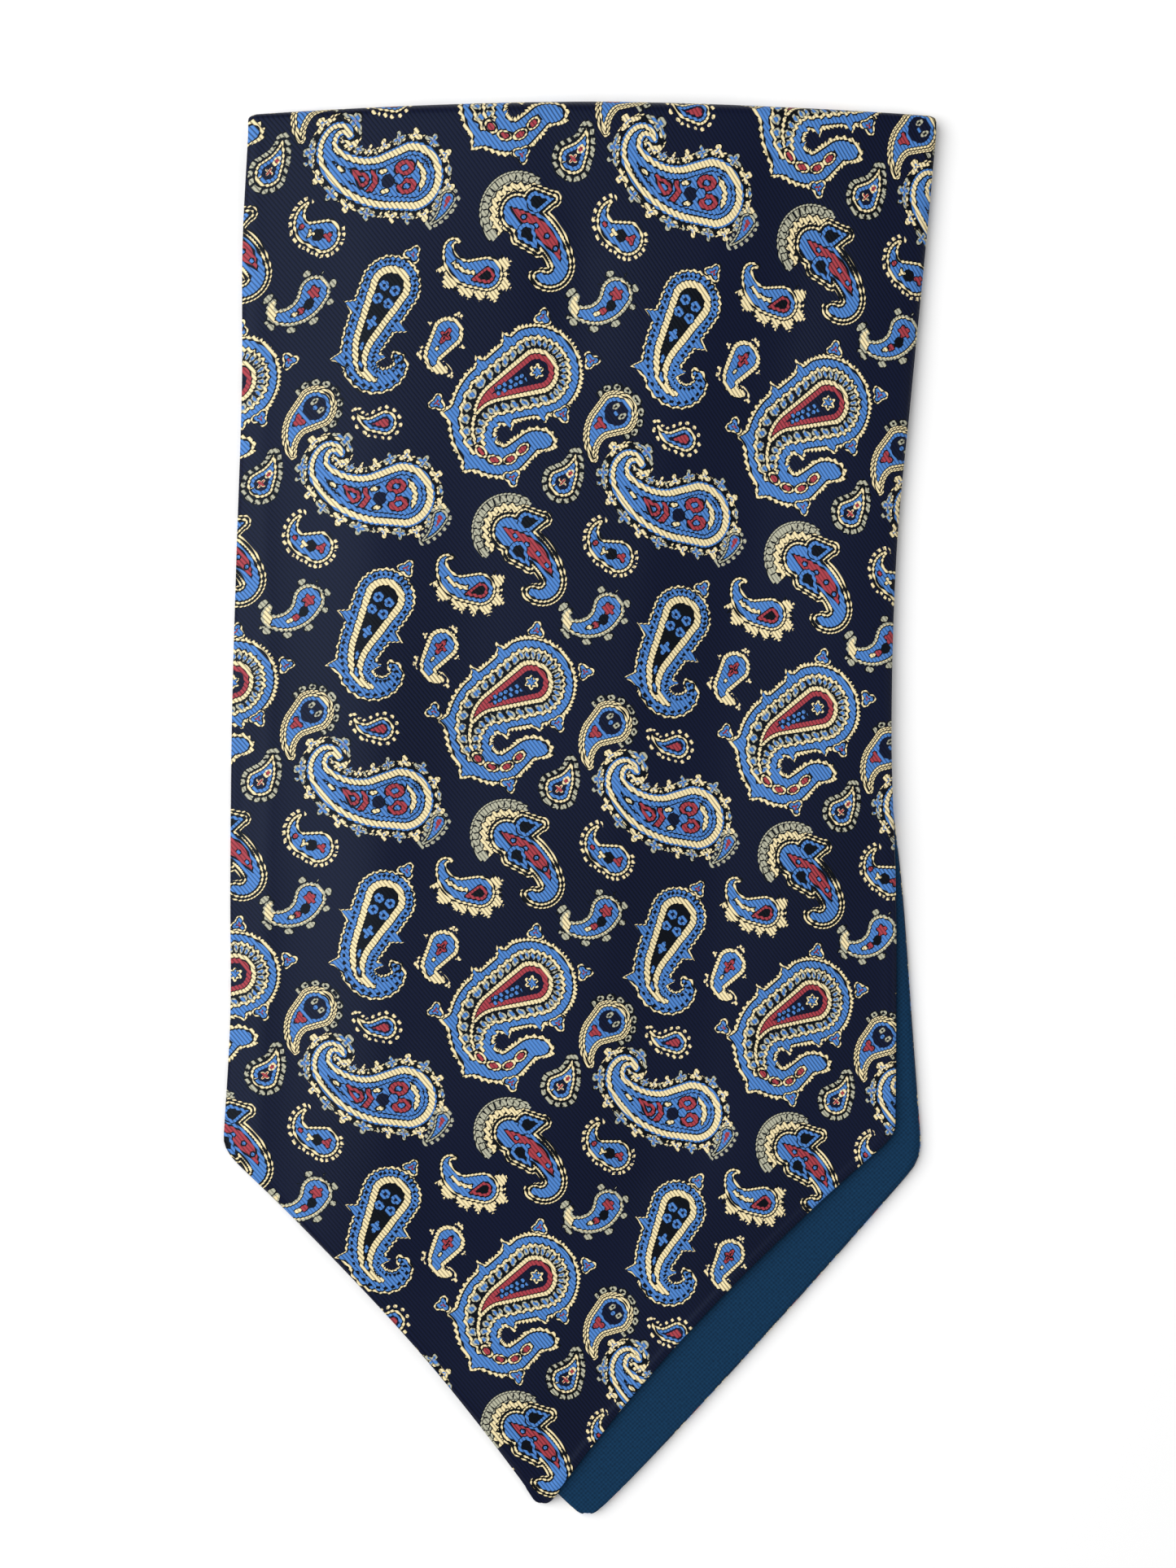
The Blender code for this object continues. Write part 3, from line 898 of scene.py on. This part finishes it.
def hooked_drop(tree, cloth, place, repeat, tint):
    """Small blue drop in a toothed cream ring with a hooked tail."""
    drop = Drop((-31.5, 35.1), 236.0, False, 3.3, 0.55, 10.4, -0.1, ((4.8, 2.5),))
    field = motif(tree, place, repeat, drop)
    chart(
        tree,
        field,
        """
toothed = rim - 0.6 * zigzag(way, 0.4)
blue_drop = higher(rim + 0.75, s - 7.8)
cell = rest(way + 2.2, 5.4) - 2.7
floret = root(cell * cell + (rim - 1.2) * (rim - 1.2)) - 0.4 - 0.25 * cosine(3 * angle(cell, rim - 1.2))
core = root((x - 0.7) * (x - 0.7) * 0.5 + y * y) - 0.95 - 0.35 * cosine(4 * angle(y, x - 0.7))
pale = root((s - 4.0) * (s - 4.0) * 0.4 + n * n)
""",
    )
    cloth = paint(tree, cloth, field["floret"], ((0.0, tint.cream),))
    cloth = paint(tree, cloth, field["toothed"], ((0.1, tint.cream), (0.3, tint.ink)))
    cloth = paint(tree, cloth, field["blue_drop"], ((0.0, tint.blue), (0.2, tint.ink)))
    cloth = paint(tree, cloth, field["core"], ((-0.6, tint.ink), (0.0, tint.red), (0.25, tint.ink)))
    return paint(tree, cloth, field["pale"], ((0.3, tint.cream), (0.5, tint.ink)))


def lace_drop(tree, cloth, place, repeat, tint):
    """Largest drop: a toothed cream outline, a blue band, beaded lace and a red drop at its heart."""
    drop = Drop(
        (-11.3, 27.6),
        208.0,
        False,
        10.2,
        2.6,
        42.0,
        0.62,
        ((10.5, 9.0), (22.0, 6.5), (31.0, 4.2), (34.0, 90.0), (38.5, -3.2)),
    )
    field = motif(tree, place, repeat, drop)
    chart(
        tree,
        field,
        """
spur = higher(1 - size(rest(s + 0.6, 7.6) - 3.8) * 0.65, 0)
pointed = rim - 1.9 * spur * spur * above(s, 0) * below(s, 30)
toothed = pointed - 1.2 * zigzag(way, 0.48)
pulse = zigzag(way, 1.0)
lace_held = lower(held, 24)
lace_reached = root((s - lace_held) * (s - lace_held) + n * n)
lace = lace_reached + lace_held * 0.235 - 7.3 - 0.55 * pulse
bead_across = rest(way, 2.2) - 1.1
bead = root(bead_across * bead_across * 1.1 + (lace + 1.4) * (lace + 1.4))
core_held = lower(held, 16.5)
core_reached = root((s - core_held) * (s - core_held) + n * n)
ring = core_reached + core_held * 0.255 - 4.9 - 0.5 * zigzag(way, 0.4)
heart = core_reached + core_held * 0.235 - 4.0
middle = higher(size(n) + 0.3 * zigzag(s, 0.6), size(s - 22) - 6)
star = root(x * x + y * y) - 1.3 - 0.3 * cosine(6 * angle(y, x))
dot_along = rest(x + 0.7 * above(y, 0), 1.4) - 0.7
dot_across = size(y) - 0.55
buds = higher(root(dot_along * dot_along + dot_across * dot_across), size(x - 6.5) - 3.2)
link = rest(s + 1.2, 3.6) - 1.8
chain = higher(root(link * link * 0.35 + n * n), size(s - 31.2) - 6.2)
""",
    )
    cloth = paint(
        tree,
        cloth,
        field["toothed"],
        ((-0.15, tint.cream), (0.1, tint.ink)),
    )
    cloth = paint(tree, cloth, field["pointed"], ((-0.85, tint.blue), (-0.5, tint.ink)))
    cloth = paint(tree, cloth, field["lace"], ((-0.55, tint.ink), (0.05, tint.cream), (0.35, tint.ink)))
    cloth = paint(tree, cloth, field["bead"], ((0.55, tint.blue), (0.9, tint.pearl)))
    cloth = paint(tree, cloth, field["middle"], ((0.4, tint.cream), (0.65, tint.ink)))
    cloth = paint(tree, cloth, field["ring"], ((-0.1, tint.cream), (0.2, tint.ink)))
    cloth = paint(tree, cloth, field["heart"], ((-1.3, tint.navy), (-0.25, tint.red), (0.0, tint.ink)))
    cloth = paint(tree, cloth, field["buds"], ((0.45, tint.blue), (0.6, tint.ink)))
    cloth = paint(
        tree, cloth, field["star"], ((-0.55, tint.blue), (-0.3, tint.ink), (0.1, tint.cream), (0.35, tint.ink))
    )
    return paint(
        tree, cloth, field["chain"], ((0.55, tint.red), (0.75, tint.ink), (1.0, tint.cream), (1.25, tint.ink))
    )


def leaf_drop(tree, cloth, place, repeat, tint):
    """Drop with a double cream rim, pale leaves in a dark heart and pearl knobs round its head."""
    drop = Drop((-60.7, 19.8), 216.0, False, 4.4, 0.4, 12.4, 0.1, ((3.0, 7.0),))
    field = motif(tree, place, repeat, drop)
    chart(
        tree,
        field,
        """
cell = rest(way, 1.9) - 0.95
knob = higher(root(cell * cell + (rim - 1.25) * (rim - 1.25)), s - 0.5)
dark = root(x * x + y * y)
leaves = root((x + 0.8) * (x + 0.8) * 0.8 + (size(y) - 1.25) * (size(y) - 1.25) * 2.4)
trefoil = root((x - 4.4) * (x - 4.4) + y * y) - 1.1 - 0.4 * cosine(3 * angle(y, x - 4.4))
""",
    )
    cloth = paint(tree, cloth, field["knob"], ((0.3, tint.ink), (0.65, tint.pearl), (0.95, tint.ink)))
    cloth = paint(
        tree,
        cloth,
        field["rim"],
        (
            (-1.0, tint.blue),
            (-0.8, tint.ink),
            (-0.4, tint.cream),
            (-0.15, tint.ink),
            (0.1, tint.cream),
            (0.25, tint.ink),
            (0.5, tint.cream),
            (0.7, tint.ink),
        ),
    )
    cloth = paint(tree, cloth, field["dark"], ((0.5, tint.blue), (2.7, tint.navy)))
    cloth = paint(tree, cloth, field["leaves"], ((0.35, tint.ink), (0.85, tint.pearl)))
    return paint(tree, cloth, field["trefoil"], ((0.0, tint.red), (0.25, tint.ink)))


def dotted_drop(tree, cloth, place, repeat, tint):
    """Smallest drop: a red heart in a blue line and a cream ring, with cream dots round it."""
    drop = Drop((-45.0, 15.7), 186.0, True, 2.9, 0.35, 7.2, 0.0, ((2.0, 4.0),))
    field = motif(tree, place, repeat, drop)
    chart(
        tree,
        field,
        """
cell = rest(way, 1.5) - 0.75
dot = root(cell * cell + (rim - 0.65) * (rim - 0.65))
""",
    )
    cloth = paint(tree, cloth, field["dot"], ((0.4, tint.cream),))
    return paint(
        tree,
        cloth,
        field["rim"],
        (
            (-1.95, tint.red),
            (-1.5, tint.navy),
            (-0.95, tint.blue),
            (-0.7, tint.ink),
            (-0.25, tint.cream),
            (0.05, tint.ink),
        ),
    )


def crested_drop(tree, cloth, place, repeat, tint):
    """Blue body with a red spindle and two leaf lobes, under a beaded cream crest."""
    drop = Drop((-16.7, 60.9), -32.0, True, 3.1, 0.8, 21.5, 0.0, ((5.0, 14.0), (14.0, 3.0)))
    field = motif(tree, place, repeat, drop)
    chart(
        tree,
        field,
        """
far = root(x * x + y * y)
bearing = angle(y, x)
past_crest = (size(rest(bearing, 6.2832) - 3.26) - 1.45) * 6
crest = higher(size(far - 7.35) - 1.1, past_crest)
scallop = higher(size(far - 5.0 - 0.95 * zigzag(bearing * 5.4, 0.85)), past_crest)
cell = rest(bearing * 7.4, 1.5) - 0.75
bead = higher(higher(size(cell) * 0.9, size(far - 7.35) * 0.8), past_crest)
up_along = (x - 2.2) * 0.714 - (y + 4.2) * 0.7
up_across = (x - 2.2) * 0.7 + (y + 4.2) * 0.714
up_held = lower(higher(up_along, 0), 3.8)
up_leaf = root((up_along - up_held) * (up_along - up_held) + up_across * up_across) - 2.3 + up_held * 0.55
low_along = (x - 4.0) * 0.943 + (y - 2.4) * 0.33
low_across = (x - 4.0) * 0.33 - (y - 2.4) * 0.943
low_held = lower(higher(low_along, 0), 4.2)
low_leaf = root((low_along - low_held) * (low_along - low_held) + low_across * low_across) - 2.2 + low_held * 0.5
body = joined(joined(rim, up_leaf, 0.5), low_leaf, 0.5)
toothed = body - 0.3 * zigzag(way, 0.35)
spindle = size(n) + (s - 6) * (s - 6) * 0.028
bit = rest(s, 3.2) - 1.6
seeds = higher(root(bit * bit * 0.7 + n * n), size(s - 6.4) - 6)
""",
    )
    cloth = paint(tree, cloth, field["crest"], ((-0.25, tint.ink), (0.05, tint.pearl), (0.25, tint.ink)))
    cloth = paint(tree, cloth, field["bead"], ((0.55, tint.pearl),))
    cloth = paint(tree, cloth, field["body"], ((1.3, tint.ink), (1.55, tint.cream), (1.75, tint.ink)))
    cloth = paint(tree, cloth, field["scallop"], ((0.6, tint.cream), (0.9, tint.ink)))
    cloth = paint(tree, cloth, field["toothed"], ((0.35, tint.ink), (0.7, tint.cream), (0.9, tint.ink)))
    cloth = paint(tree, cloth, field["body"], ((0.0, tint.blue), (0.25, tint.ink)))
    cloth = paint(tree, cloth, field["spindle"], ((1.65, tint.red), (1.95, tint.ink)))
    cloth = paint(tree, cloth, field["seeds"], ((0.4, tint.blue), (0.65, tint.ink)))
    cloth = paint(tree, cloth, field["up_leaf"], ((-0.9, tint.ink), (-0.15, tint.blue), (0.05, tint.ink)))
    return paint(tree, cloth, field["low_leaf"], ((-0.9, tint.ink), (-0.15, tint.blue), (0.05, tint.ink)))


def beaded_leaf(tree, cloth, place, repeat, tint):
    """Small leaf with a red heart, in a grey line and a fringe of beads."""
    drop = Drop((-32.3, 63.5), 249.0, False, 1.7, 0.3, 6.4, 0.0, ((1.0, -9.0),))
    field = motif(tree, place, repeat, drop)
    chart(
        tree,
        field,
        """
cell = rest(way, 1.3) - 0.65
bead = root(cell * cell + (rim - 0.55) * (rim - 0.55))
""",
    )
    cloth = paint(tree, cloth, field["bead"], ((0.4, tint.pearl),))
    bands = ((-1.15, tint.red), (-0.55, tint.blue), (-0.3, tint.ink), (0.0, tint.pearl), (0.2, tint.ink))
    return paint(tree, cloth, field["rim"], bands)


# The small triangular florets between the drops: where each lies and the way it points
FLORETS = (
    ((-10.3, 39.3), 80.0),
    ((0.9, 30.8), 5.0),
    ((-5.3, 18.7), -60.0),
    ((-33.4, 20.0), 200.0),
    ((-16.3, 4.2), -75.0),
    ((-39.7, 52.0), 55.0),
)


def florets(tree, cloth, place, repeat, tint):
    """Blue trefoils with a red middle, each in a cream triangle with round corners."""
    for centre, turn in FLORETS:
        field = own_place(tree, place, repeat, centre, turn, False)
        chart(tree, field, "petals = root(x * x + y * y) - 0.42 * cosine(3 * angle(y, x))")
        bands = ((0.2, tint.red), (0.35, tint.ink), (1.1, tint.blue), (1.4, tint.ink), (1.7, tint.cream))
        cloth = paint(tree, cloth, field["petals"], (*bands, (1.95, tint.ink)))
    return cloth


def motif_group(draw, repeat, tint):
    """A node group that lays one motif over the colour of the cloth."""
    group = bpy.data.node_groups.new(draw.__name__.replace("_", " "), "ShaderNodeTree")
    group.interface.new_socket("Cloth", in_out="INPUT", socket_type="NodeSocketColor")
    group.interface.new_socket("Place", in_out="INPUT", socket_type="NodeSocketVector")
    group.interface.new_socket("Cloth", in_out="OUTPUT", socket_type="NodeSocketColor")
    given = add_node(group, "NodeGroupInput").outputs
    add_node(group, "NodeGroupOutput", (draw(group, given["Cloth"], given["Place"], repeat, tint),))
    return group


MOTIFS = (
    great_drop,
    bead_drop,
    crested_drop,
    beaded_leaf,
    rayed_drop,
    knobbed_drop,
    petal_drop,
    fan_drop,
    hooked_drop,
    lace_drop,
    leaf_drop,
    dotted_drop,
    florets,
)

RIB_LEAN = math.radians(50)  # the twill ribs fall to the right at this slope


def new_material(name):
    material = bpy.data.materials.new(name)
    material.use_nodes = True
    return material, material.node_tree, material.node_tree.nodes["Principled BSDF"]


def printed_twill(settings):
    """Fine silk twill, woven of bright filament yarn and screen printed, soft and slightly glossy.

    Its fine diagonal ribs step the edges of the print. Its colour carries a painted highlight along each rib's back
    and painted shade in the groove between ribs, stronger in some patches, and the same ribs are bumped. The ground
    is a near-black navy.
    """
    material, tree, shader = new_material("printed silk twill")
    tint = Palette(*(tuple(getattr(settings, name)) for name in Palette._fields))
    repeat = (settings.repeat_width / MM, settings.repeat_height / MM)
    pitch = settings.rib_pitch / MM
    cut = add_node(tree, "ShaderNodeUVMap", uv_map=CUT_MAP)
    whole_mm = add_node(
        tree, "ShaderNodeVectorMath", {"Vector": cut.outputs[0], "Scale": 1 / MM}, operation="SCALE"
    )
    across_ribs = (math.sin(RIB_LEAN), math.cos(RIB_LEAN), 0)
    rib = add_node(tree, "ShaderNodeVectorMath", (whole_mm.outputs[0], across_ribs), operation="DOT_PRODUCT")
    known = {"rib": rib.outputs["Value"], "pitch": pitch}
    chart(tree, known, "from_middle = rest(rib, pitch) - pitch * 0.5")
    chart(tree, known, "stepped = from_middle * 0.45")
    step = add_node(
        tree,
        "ShaderNodeVectorMath",
        {"Vector": across_ribs, "Scale": known["stepped"]},
        operation="SCALE",
    )
    place = add_node(
        tree, "ShaderNodeVectorMath", (whole_mm.outputs[0], step.outputs[0]), operation="SUBTRACT"
    ).outputs[0]
    cloth = (*tint.navy, 1)
    for draw in MOTIFS:
        group = motif_group(draw, repeat, tint)
        cloth = add_node(tree, "ShaderNodeGroup", (cloth, place), node_tree=group).outputs[0]
    # Noise that makes the painted rib highlight and shade, and the rib bump, stronger in some patches than in others
    patchy = add_node(tree, "ShaderNodeTexNoise", {"Vector": cut.outputs[0], "Scale": 24.0, "Detail": 1.0})
    known["patchy"] = patchy.outputs["Fac"]
    chart(
        # Painted highlight along each rib's back and painted shade in the groove between ribs: this value scales the
        # print's colour and also drives the bump
        tree,
        known,
        """
off = from_middle / pitch * 2
groove = 1.18 - (0.35 + patchy * 1.1) * (off * off)
""",
    )
    # The print's colour with the painted rib highlight and shade laid in
    shaded = add_node(
        tree,
        "ShaderNodeVectorMath",
        {"Vector": cloth, "Scale": known["groove"]},
        operation="SCALE",
    )
    bump = add_node(
        tree,
        "ShaderNodeBump",
        {"Strength": 0.4, "Distance": 0.08 * MM, "Height": known["groove"]},
    )
    tree.links.new(shaded.outputs[0], shader.inputs["Base Color"])
    tree.links.new(bump.outputs[0], shader.inputs["Normal"])
    shader.inputs["Roughness"].default_value = 0.45
    shader.inputs["IOR"].default_value = 1.5
    shader.inputs["Specular IOR Level"].default_value = 0.14
    shader.inputs["Specular Tint"].default_value = (0.6, 0.75, 1.0, 1.0)
    return material


def plain_lining(settings):
    """Plain-woven lining of spun viscose, dyed dark teal: matt, with a fine even grid of threads."""
    material, tree, shader = new_material("plain woven lining")
    cut = add_node(tree, "ShaderNodeUVMap", uv_map=CUT_MAP)
    split = add_node(tree, "ShaderNodeSeparateXYZ", (cut.outputs[0],))
    known = {"u": split.outputs["X"], "v": split.outputs["Y"], "turn": math.pi / (0.5 * MM)}
    chart(
        tree,
        known,
        """
weave = sine(u * turn) * sine(v * turn)
height = 0.5 + 0.5 * weave
""",
    )
    uneven = add_node(tree, "ShaderNodeTexNoise", {"Vector": cut.outputs[0], "Scale": 1500.0, "Detail": 1.0})
    known["fleck"] = uneven.outputs["Fac"]
    # The colour is lighter on the threads and darker where the weave dips between them, which is painted shade, and
    # it is also flecked at random along the yarn
    chart(tree, known, "shade = 0.6 + 0.5 * height + (fleck - 0.5) * 0.5")
    shaded = add_node(
        tree,
        "ShaderNodeVectorMath",
        {"Vector": tuple(settings.lining), "Scale": known["shade"]},
        operation="SCALE",
    )
    bump = add_node(
        tree, "ShaderNodeBump", {"Strength": 0.5, "Distance": 0.08 * MM, "Height": known["height"]}
    )
    tree.links.new(shaded.outputs[0], shader.inputs["Base Color"])
    tree.links.new(bump.outputs[0], shader.inputs["Normal"])
    shader.inputs["Roughness"].default_value = 0.8
    shader.inputs["Specular IOR Level"].default_value = 0.1
    return material


def painted_board():
    """Matt white board, sprayed smooth: an even, pale surface."""
    material, tree, shader = new_material("matt white board")
    grain = add_node(tree, "ShaderNodeTexNoise", {"Scale": 40.0, "Detail": 3.0})
    bump = add_node(
        tree, "ShaderNodeBump", {"Strength": 0.02, "Distance": 0.2 * MM, "Height": grain.outputs["Fac"]}
    )
    tree.links.new(bump.outputs[0], shader.inputs["Normal"])
    shader.inputs["Base Color"].default_value = (*linear("#f8f8f8"), 1)
    shader.inputs["Roughness"].default_value = 0.9
    shader.inputs["Specular IOR Level"].default_value = 0.1
    return material


def found_material(name, build, *settings):
    """The material of that name, built the first time that it is asked for."""
    return bpy.data.materials.get(name) or build(*settings)


class CRAVAT_OT_front_silk(bpy.types.Operator):
    """Builds the front blade: printed silk, rolled over the fold, with its lining beneath"""

    bl_idname = "cravat.front_silk"
    bl_label = "Front silk"

    def execute(self, context):
        cloth = context.scene.cravat_cloth
        swell = cloth.edge_swell / MM
        margin = cloth.turned_edge / MM
        places = spread(FRONT_COLUMNS)
        points, cuts, lined = [], [], []
        cut_up = FOLD_LINE
        for k in range(UNDER_STEPS):
            up = FOLD_LINE - TURNED_UNDER * (1 - k / UNDER_STEPS)
            points.append([(across(REAR, up, v), up - dome_at(v, up), REAR_LEVEL) for v in places])
        for k in range(FOLD_STEPS + 1):
            turn = math.pi * (k / FOLD_STEPS - 0.5)
            trim = FOLD_CORNER * math.cos(turn) ** 3
            row = []
            for v in places:
                x = across(FRONT, FOLD_LINE, v, trim=trim)
                up = FOLD_LINE - dome(v)
                crown = front_underside(x, up) + WALL / 2 - creases(x, up) * (0.5 + 0.5 * math.sin(turn))
                radius = (crown - REAR_LEVEL) / 2
                row.append(
                    (
                        x,
                        up + FOLD_FLATNESS * radius * math.cos(turn),
                        REAR_LEVEL + radius * (1 + math.sin(turn)),
                    )
                )
            points.append(row)
        on_top = len(points) - 1
        for up in rows_down(FOLD_LINE, FRONT, FRONT_STEP)[1:]:
            row = []
            for v in places:
                x, y = across(FRONT, up, v), up - dome_at(v, up)
                inside = min(reach(FRONT, up, -1) + x, reach(FRONT, up, 1) - x)
                seam = swell * math.exp(-((inside - 1.3) ** 2) / 1.4)
                row.append((x, y, front_underside(x, y) + WALL / 2 - creases(x, y) + seam))
            points.append(row)
        middle = np.array(points)
        back = np.linalg.norm(np.diff(middle[: on_top + 1], axis=0), axis=2)[::-1].cumsum(axis=0)[::-1]
        for r, row in enumerate(points):
            ups = [y + (back[r, c] if r < on_top else 0) for c, (x, y, z) in enumerate(row)]
            if r < on_top:
                ups = [points[on_top][c][1] + back[r, c] for c in range(len(row))]
            cuts.append([print_place(row[c][0], ups[c]) for c in range(len(row))])
        lined = np.ones((len(points) - 1, len(places) - 1), dtype=int)
        for r in range(lined.shape[0]):
            for c in range(lined.shape[1]):
                x, up = points[r][c][0], points[r][c][1]
                inside = min(reach(FRONT, up, -1) + x, reach(FRONT, up, 1) - x)
                lined[r, c] = inside > margin
        piece = cloth_sheet("front_silk", middle, np.array(cuts), cloth.silk_thickness / MM, lined)
        piece.data.materials.append(found_material("printed silk twill", printed_twill, context.scene.cravat_print))
        piece.data.materials.append(found_material("plain woven lining", plain_lining, context.scene.cravat_print))
        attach(piece, ROOT)
        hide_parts("front_blade")
        area = share_of_area(piece)
        return {"FINISHED"}


class CRAVAT_OT_rear_silk(bpy.types.Operator):
    """Builds the rear blade: printed side down, its edge turned up over the lining"""

    bl_idname = "cravat.rear_silk"
    bl_label = "Rear silk"

    def execute(self, context):
        cloth = context.scene.cravat_cloth
        level = cloth.rear_thickness / MM / 2 + 0.1
        lip = ((0.0, 0.98), (0.2, 0.92), (0.7, 0.66))
        top = FOLD_LINE - TURNED_UNDER - GAP
        points, cuts = [], []
        for up in rows_down(top, REAR, FLAT_STEP):
            places = [(-1, inset, z) for inset, z in lip]
            places += [(v, 0.0, level) for v in spread(FLAT_COLUMNS)[1:-1]]
            places += [(1, inset, z) for inset, z in lip[::-1]]
            row, cut = [], []
            for v, inset, z in places[::-1]:
                x = across(REAR, up, v, inset)
                row.append((x, up - dome_at(v, up), z))
                cut.append(print_place(x, up))
            points.append(row)
            cuts.append(cut)
        piece = cloth_sheet("rear_silk", np.array(points), np.array(cuts), cloth.rear_thickness / MM)
        piece.data.materials.append(found_material("printed silk twill", printed_twill, context.scene.cravat_print))
        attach(piece, ROOT)
        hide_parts("rear_blade")
        share_of_area(piece)
        return {"FINISHED"}


class CRAVAT_OT_lining(bpy.types.Operator):
    """Builds the rear blade's lining, which lies inside its turned edge"""

    bl_idname = "cravat.lining"
    bl_label = "Lining"

    def execute(self, context):
        cloth = context.scene.cravat_cloth
        inset = cloth.lining_inset / MM
        points, cuts = [], []
        for up in rows_down(FOLD_LINE - inset, REAR, FLAT_STEP, inset):
            row, cut = [], []
            for v in spread(FLAT_COLUMNS):
                x = across(REAR, up, v, inset)
                waver = 0.06 * math.sin(x * 0.21 + up * 0.05) * math.sin(up * 0.17 + 1.3)
                edge = 0.12 * abs(v) ** 24
                row.append((x, up - dome_at(v, up), LINING_LEVEL + waver - edge))
                cut.append((x, up))
            points.append(row)
            cuts.append(cut)
        piece = cloth_sheet("lining_cloth", np.array(points), np.array(cuts), cloth.lining_thickness / MM)
        piece.data.materials.append(found_material("plain woven lining", plain_lining, context.scene.cravat_print))
        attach(piece, ROOT)
        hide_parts("rear_lining")
        share_of_area(piece)
        return {"FINISHED"}


class CRAVAT_OT_neck_band(bpy.types.Operator):
    """Builds the neck band, folded up in layers between the blades"""

    bl_idname = "cravat.neck_band"
    bl_label = "Neck band"

    def execute(self, context):
        top = FOLD_LINE - BAND_FOLD_CLEARANCE - 0.3
        points, cuts = [], []
        for k in range(61):
            up = top + (BAND_BOTTOM + 0.3 - top) * k / 60
            left = along(BAND_SIDES, up, "left") + BAND_INSET
            right = along(BAND_SIDES, up, "right") - BAND_INSET
            row, cut = [], []
            for c in range(49):
                share = c / 48
                v = 2 * share - 1
                x = left + (right - left) * share
                stand = max(lift(x, up - dome(v)) - 2 * GAP, 0.9)
                rounded = math.sqrt(max(1.0 - v**8, 0.0))
                pleat = 0.12 * math.sin(share * math.pi * 6)
                row.append((x, up, BED + 0.3 + (stand - 0.55) * (0.5 + rounded / 2) - 0.1 + pleat))
                cut.append(print_place(x * 0.8, up))
            points.append(row)
            cuts.append(cut)
        piece = cloth_sheet("neck_band_folds", np.array(points), np.array(cuts), 0.4)
        piece.data.materials.append(found_material("printed silk twill", printed_twill, context.scene.cravat_print))
        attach(piece, ROOT)
        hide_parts("neck_band")
        share_of_area(piece)
        return {"FINISHED"}


class CRAVAT_OT_stage(bpy.types.Operator):
    """Sets the floor, the soft lamps, the even sky and the camera straight above"""

    bl_idname = "cravat.stage"
    bl_label = "Stage"

    def execute(self, context):
        scene = context.scene
        stage = scene.cravat_stage
        half = stage.floor_size / 2
        mesh = bpy.data.meshes.new("floor")
        mesh.from_pydata([(-half, -half, 0), (half, -half, 0), (half, half, 0), (-half, half, 0)], [], [(0, 1, 2, 3)])
        mesh.materials.append(painted_board())
        floor = bpy.data.objects.new("floor", mesh)
        scene.collection.objects.link(floor)

        world = bpy.data.worlds.new("even sky")
        world.use_nodes = True
        sky = world.node_tree.nodes["Background"]
        sky.inputs["Color"].default_value = (1, 1, 1, 1)
        sky.inputs["Strength"].default_value = stage.sky_strength
        scene.world = world

        for name, place, side, power in (
            ("main_soft_lamp", Vector((-0.7, 0.2, 0.9)), 1.3, stage.lamp_power),
            ("fill_soft_lamp", Vector((0.95, -0.3, 0.9)), 1.1, stage.fill_power),
        ):
            lamp = bpy.data.lights.new(name, "AREA")
            lamp.size = side
            lamp.energy = power
            held = bpy.data.objects.new(name, lamp)
            held.location = place
            held.rotation_euler = place.to_track_quat("Z", "Y").to_euler()
            scene.collection.objects.link(held)

        camera = bpy.data.cameras.new("camera")
        camera.sensor_fit = "VERTICAL"
        camera.sensor_height = 36.0
        camera.lens = 36.0 * stage.camera_height / stage.view_height
        held = bpy.data.objects.new("camera", camera)
        held.location = (0.00188, 0.00561, stage.camera_height)
        scene.collection.objects.link(held)
        scene.camera = held
        scene.view_settings.view_transform = "Standard"
        return {"FINISHED"}


class CRAVAT_PT_panel(bpy.types.Panel):
    """Lists the cravat's pieces and their sizes and colours"""

    bl_idname = "CRAVAT_PT_panel"
    bl_label = "Silk Cravat"
    bl_space_type = "VIEW_3D"
    bl_region_type = "UI"
    bl_category = "Cravat"

    def draw(self, context):
        for operator_class in OPERATORS:
            self.layout.operator(operator_class.bl_idname)
        for group in (context.scene.cravat_cloth, context.scene.cravat_print, context.scene.cravat_stage):
            for name in group.__annotations__:
                self.layout.prop(group, name)


GROUPS = {"cravat_cloth": CravatCloth, "cravat_print": CravatPrint, "cravat_stage": CravatStage}
OPERATORS = (
    CRAVAT_OT_rear_silk,
    CRAVAT_OT_lining,
    CRAVAT_OT_neck_band,
    CRAVAT_OT_front_silk,
    CRAVAT_OT_stage,
)


def register():
    for listed in (*GROUPS.values(), *OPERATORS, CRAVAT_PT_panel):
        bpy.utils.register_class(listed)
    for name, group in GROUPS.items():
        setattr(bpy.types.Scene, name, PointerProperty(type=group))


def unregister():
    for name in GROUPS:
        delattr(bpy.types.Scene, name)
    for listed in (CRAVAT_PT_panel, *reversed(OPERATORS), *reversed(GROUPS.values())):
        bpy.utils.unregister_class(listed)


def main():
    register()
    bpy.ops.cravat.rear_silk()
    bpy.ops.cravat.lining()
    bpy.ops.cravat.neck_band()
    bpy.ops.cravat.front_silk()
    bpy.ops.cravat.stage()


if __name__ == "__main__":
    main()
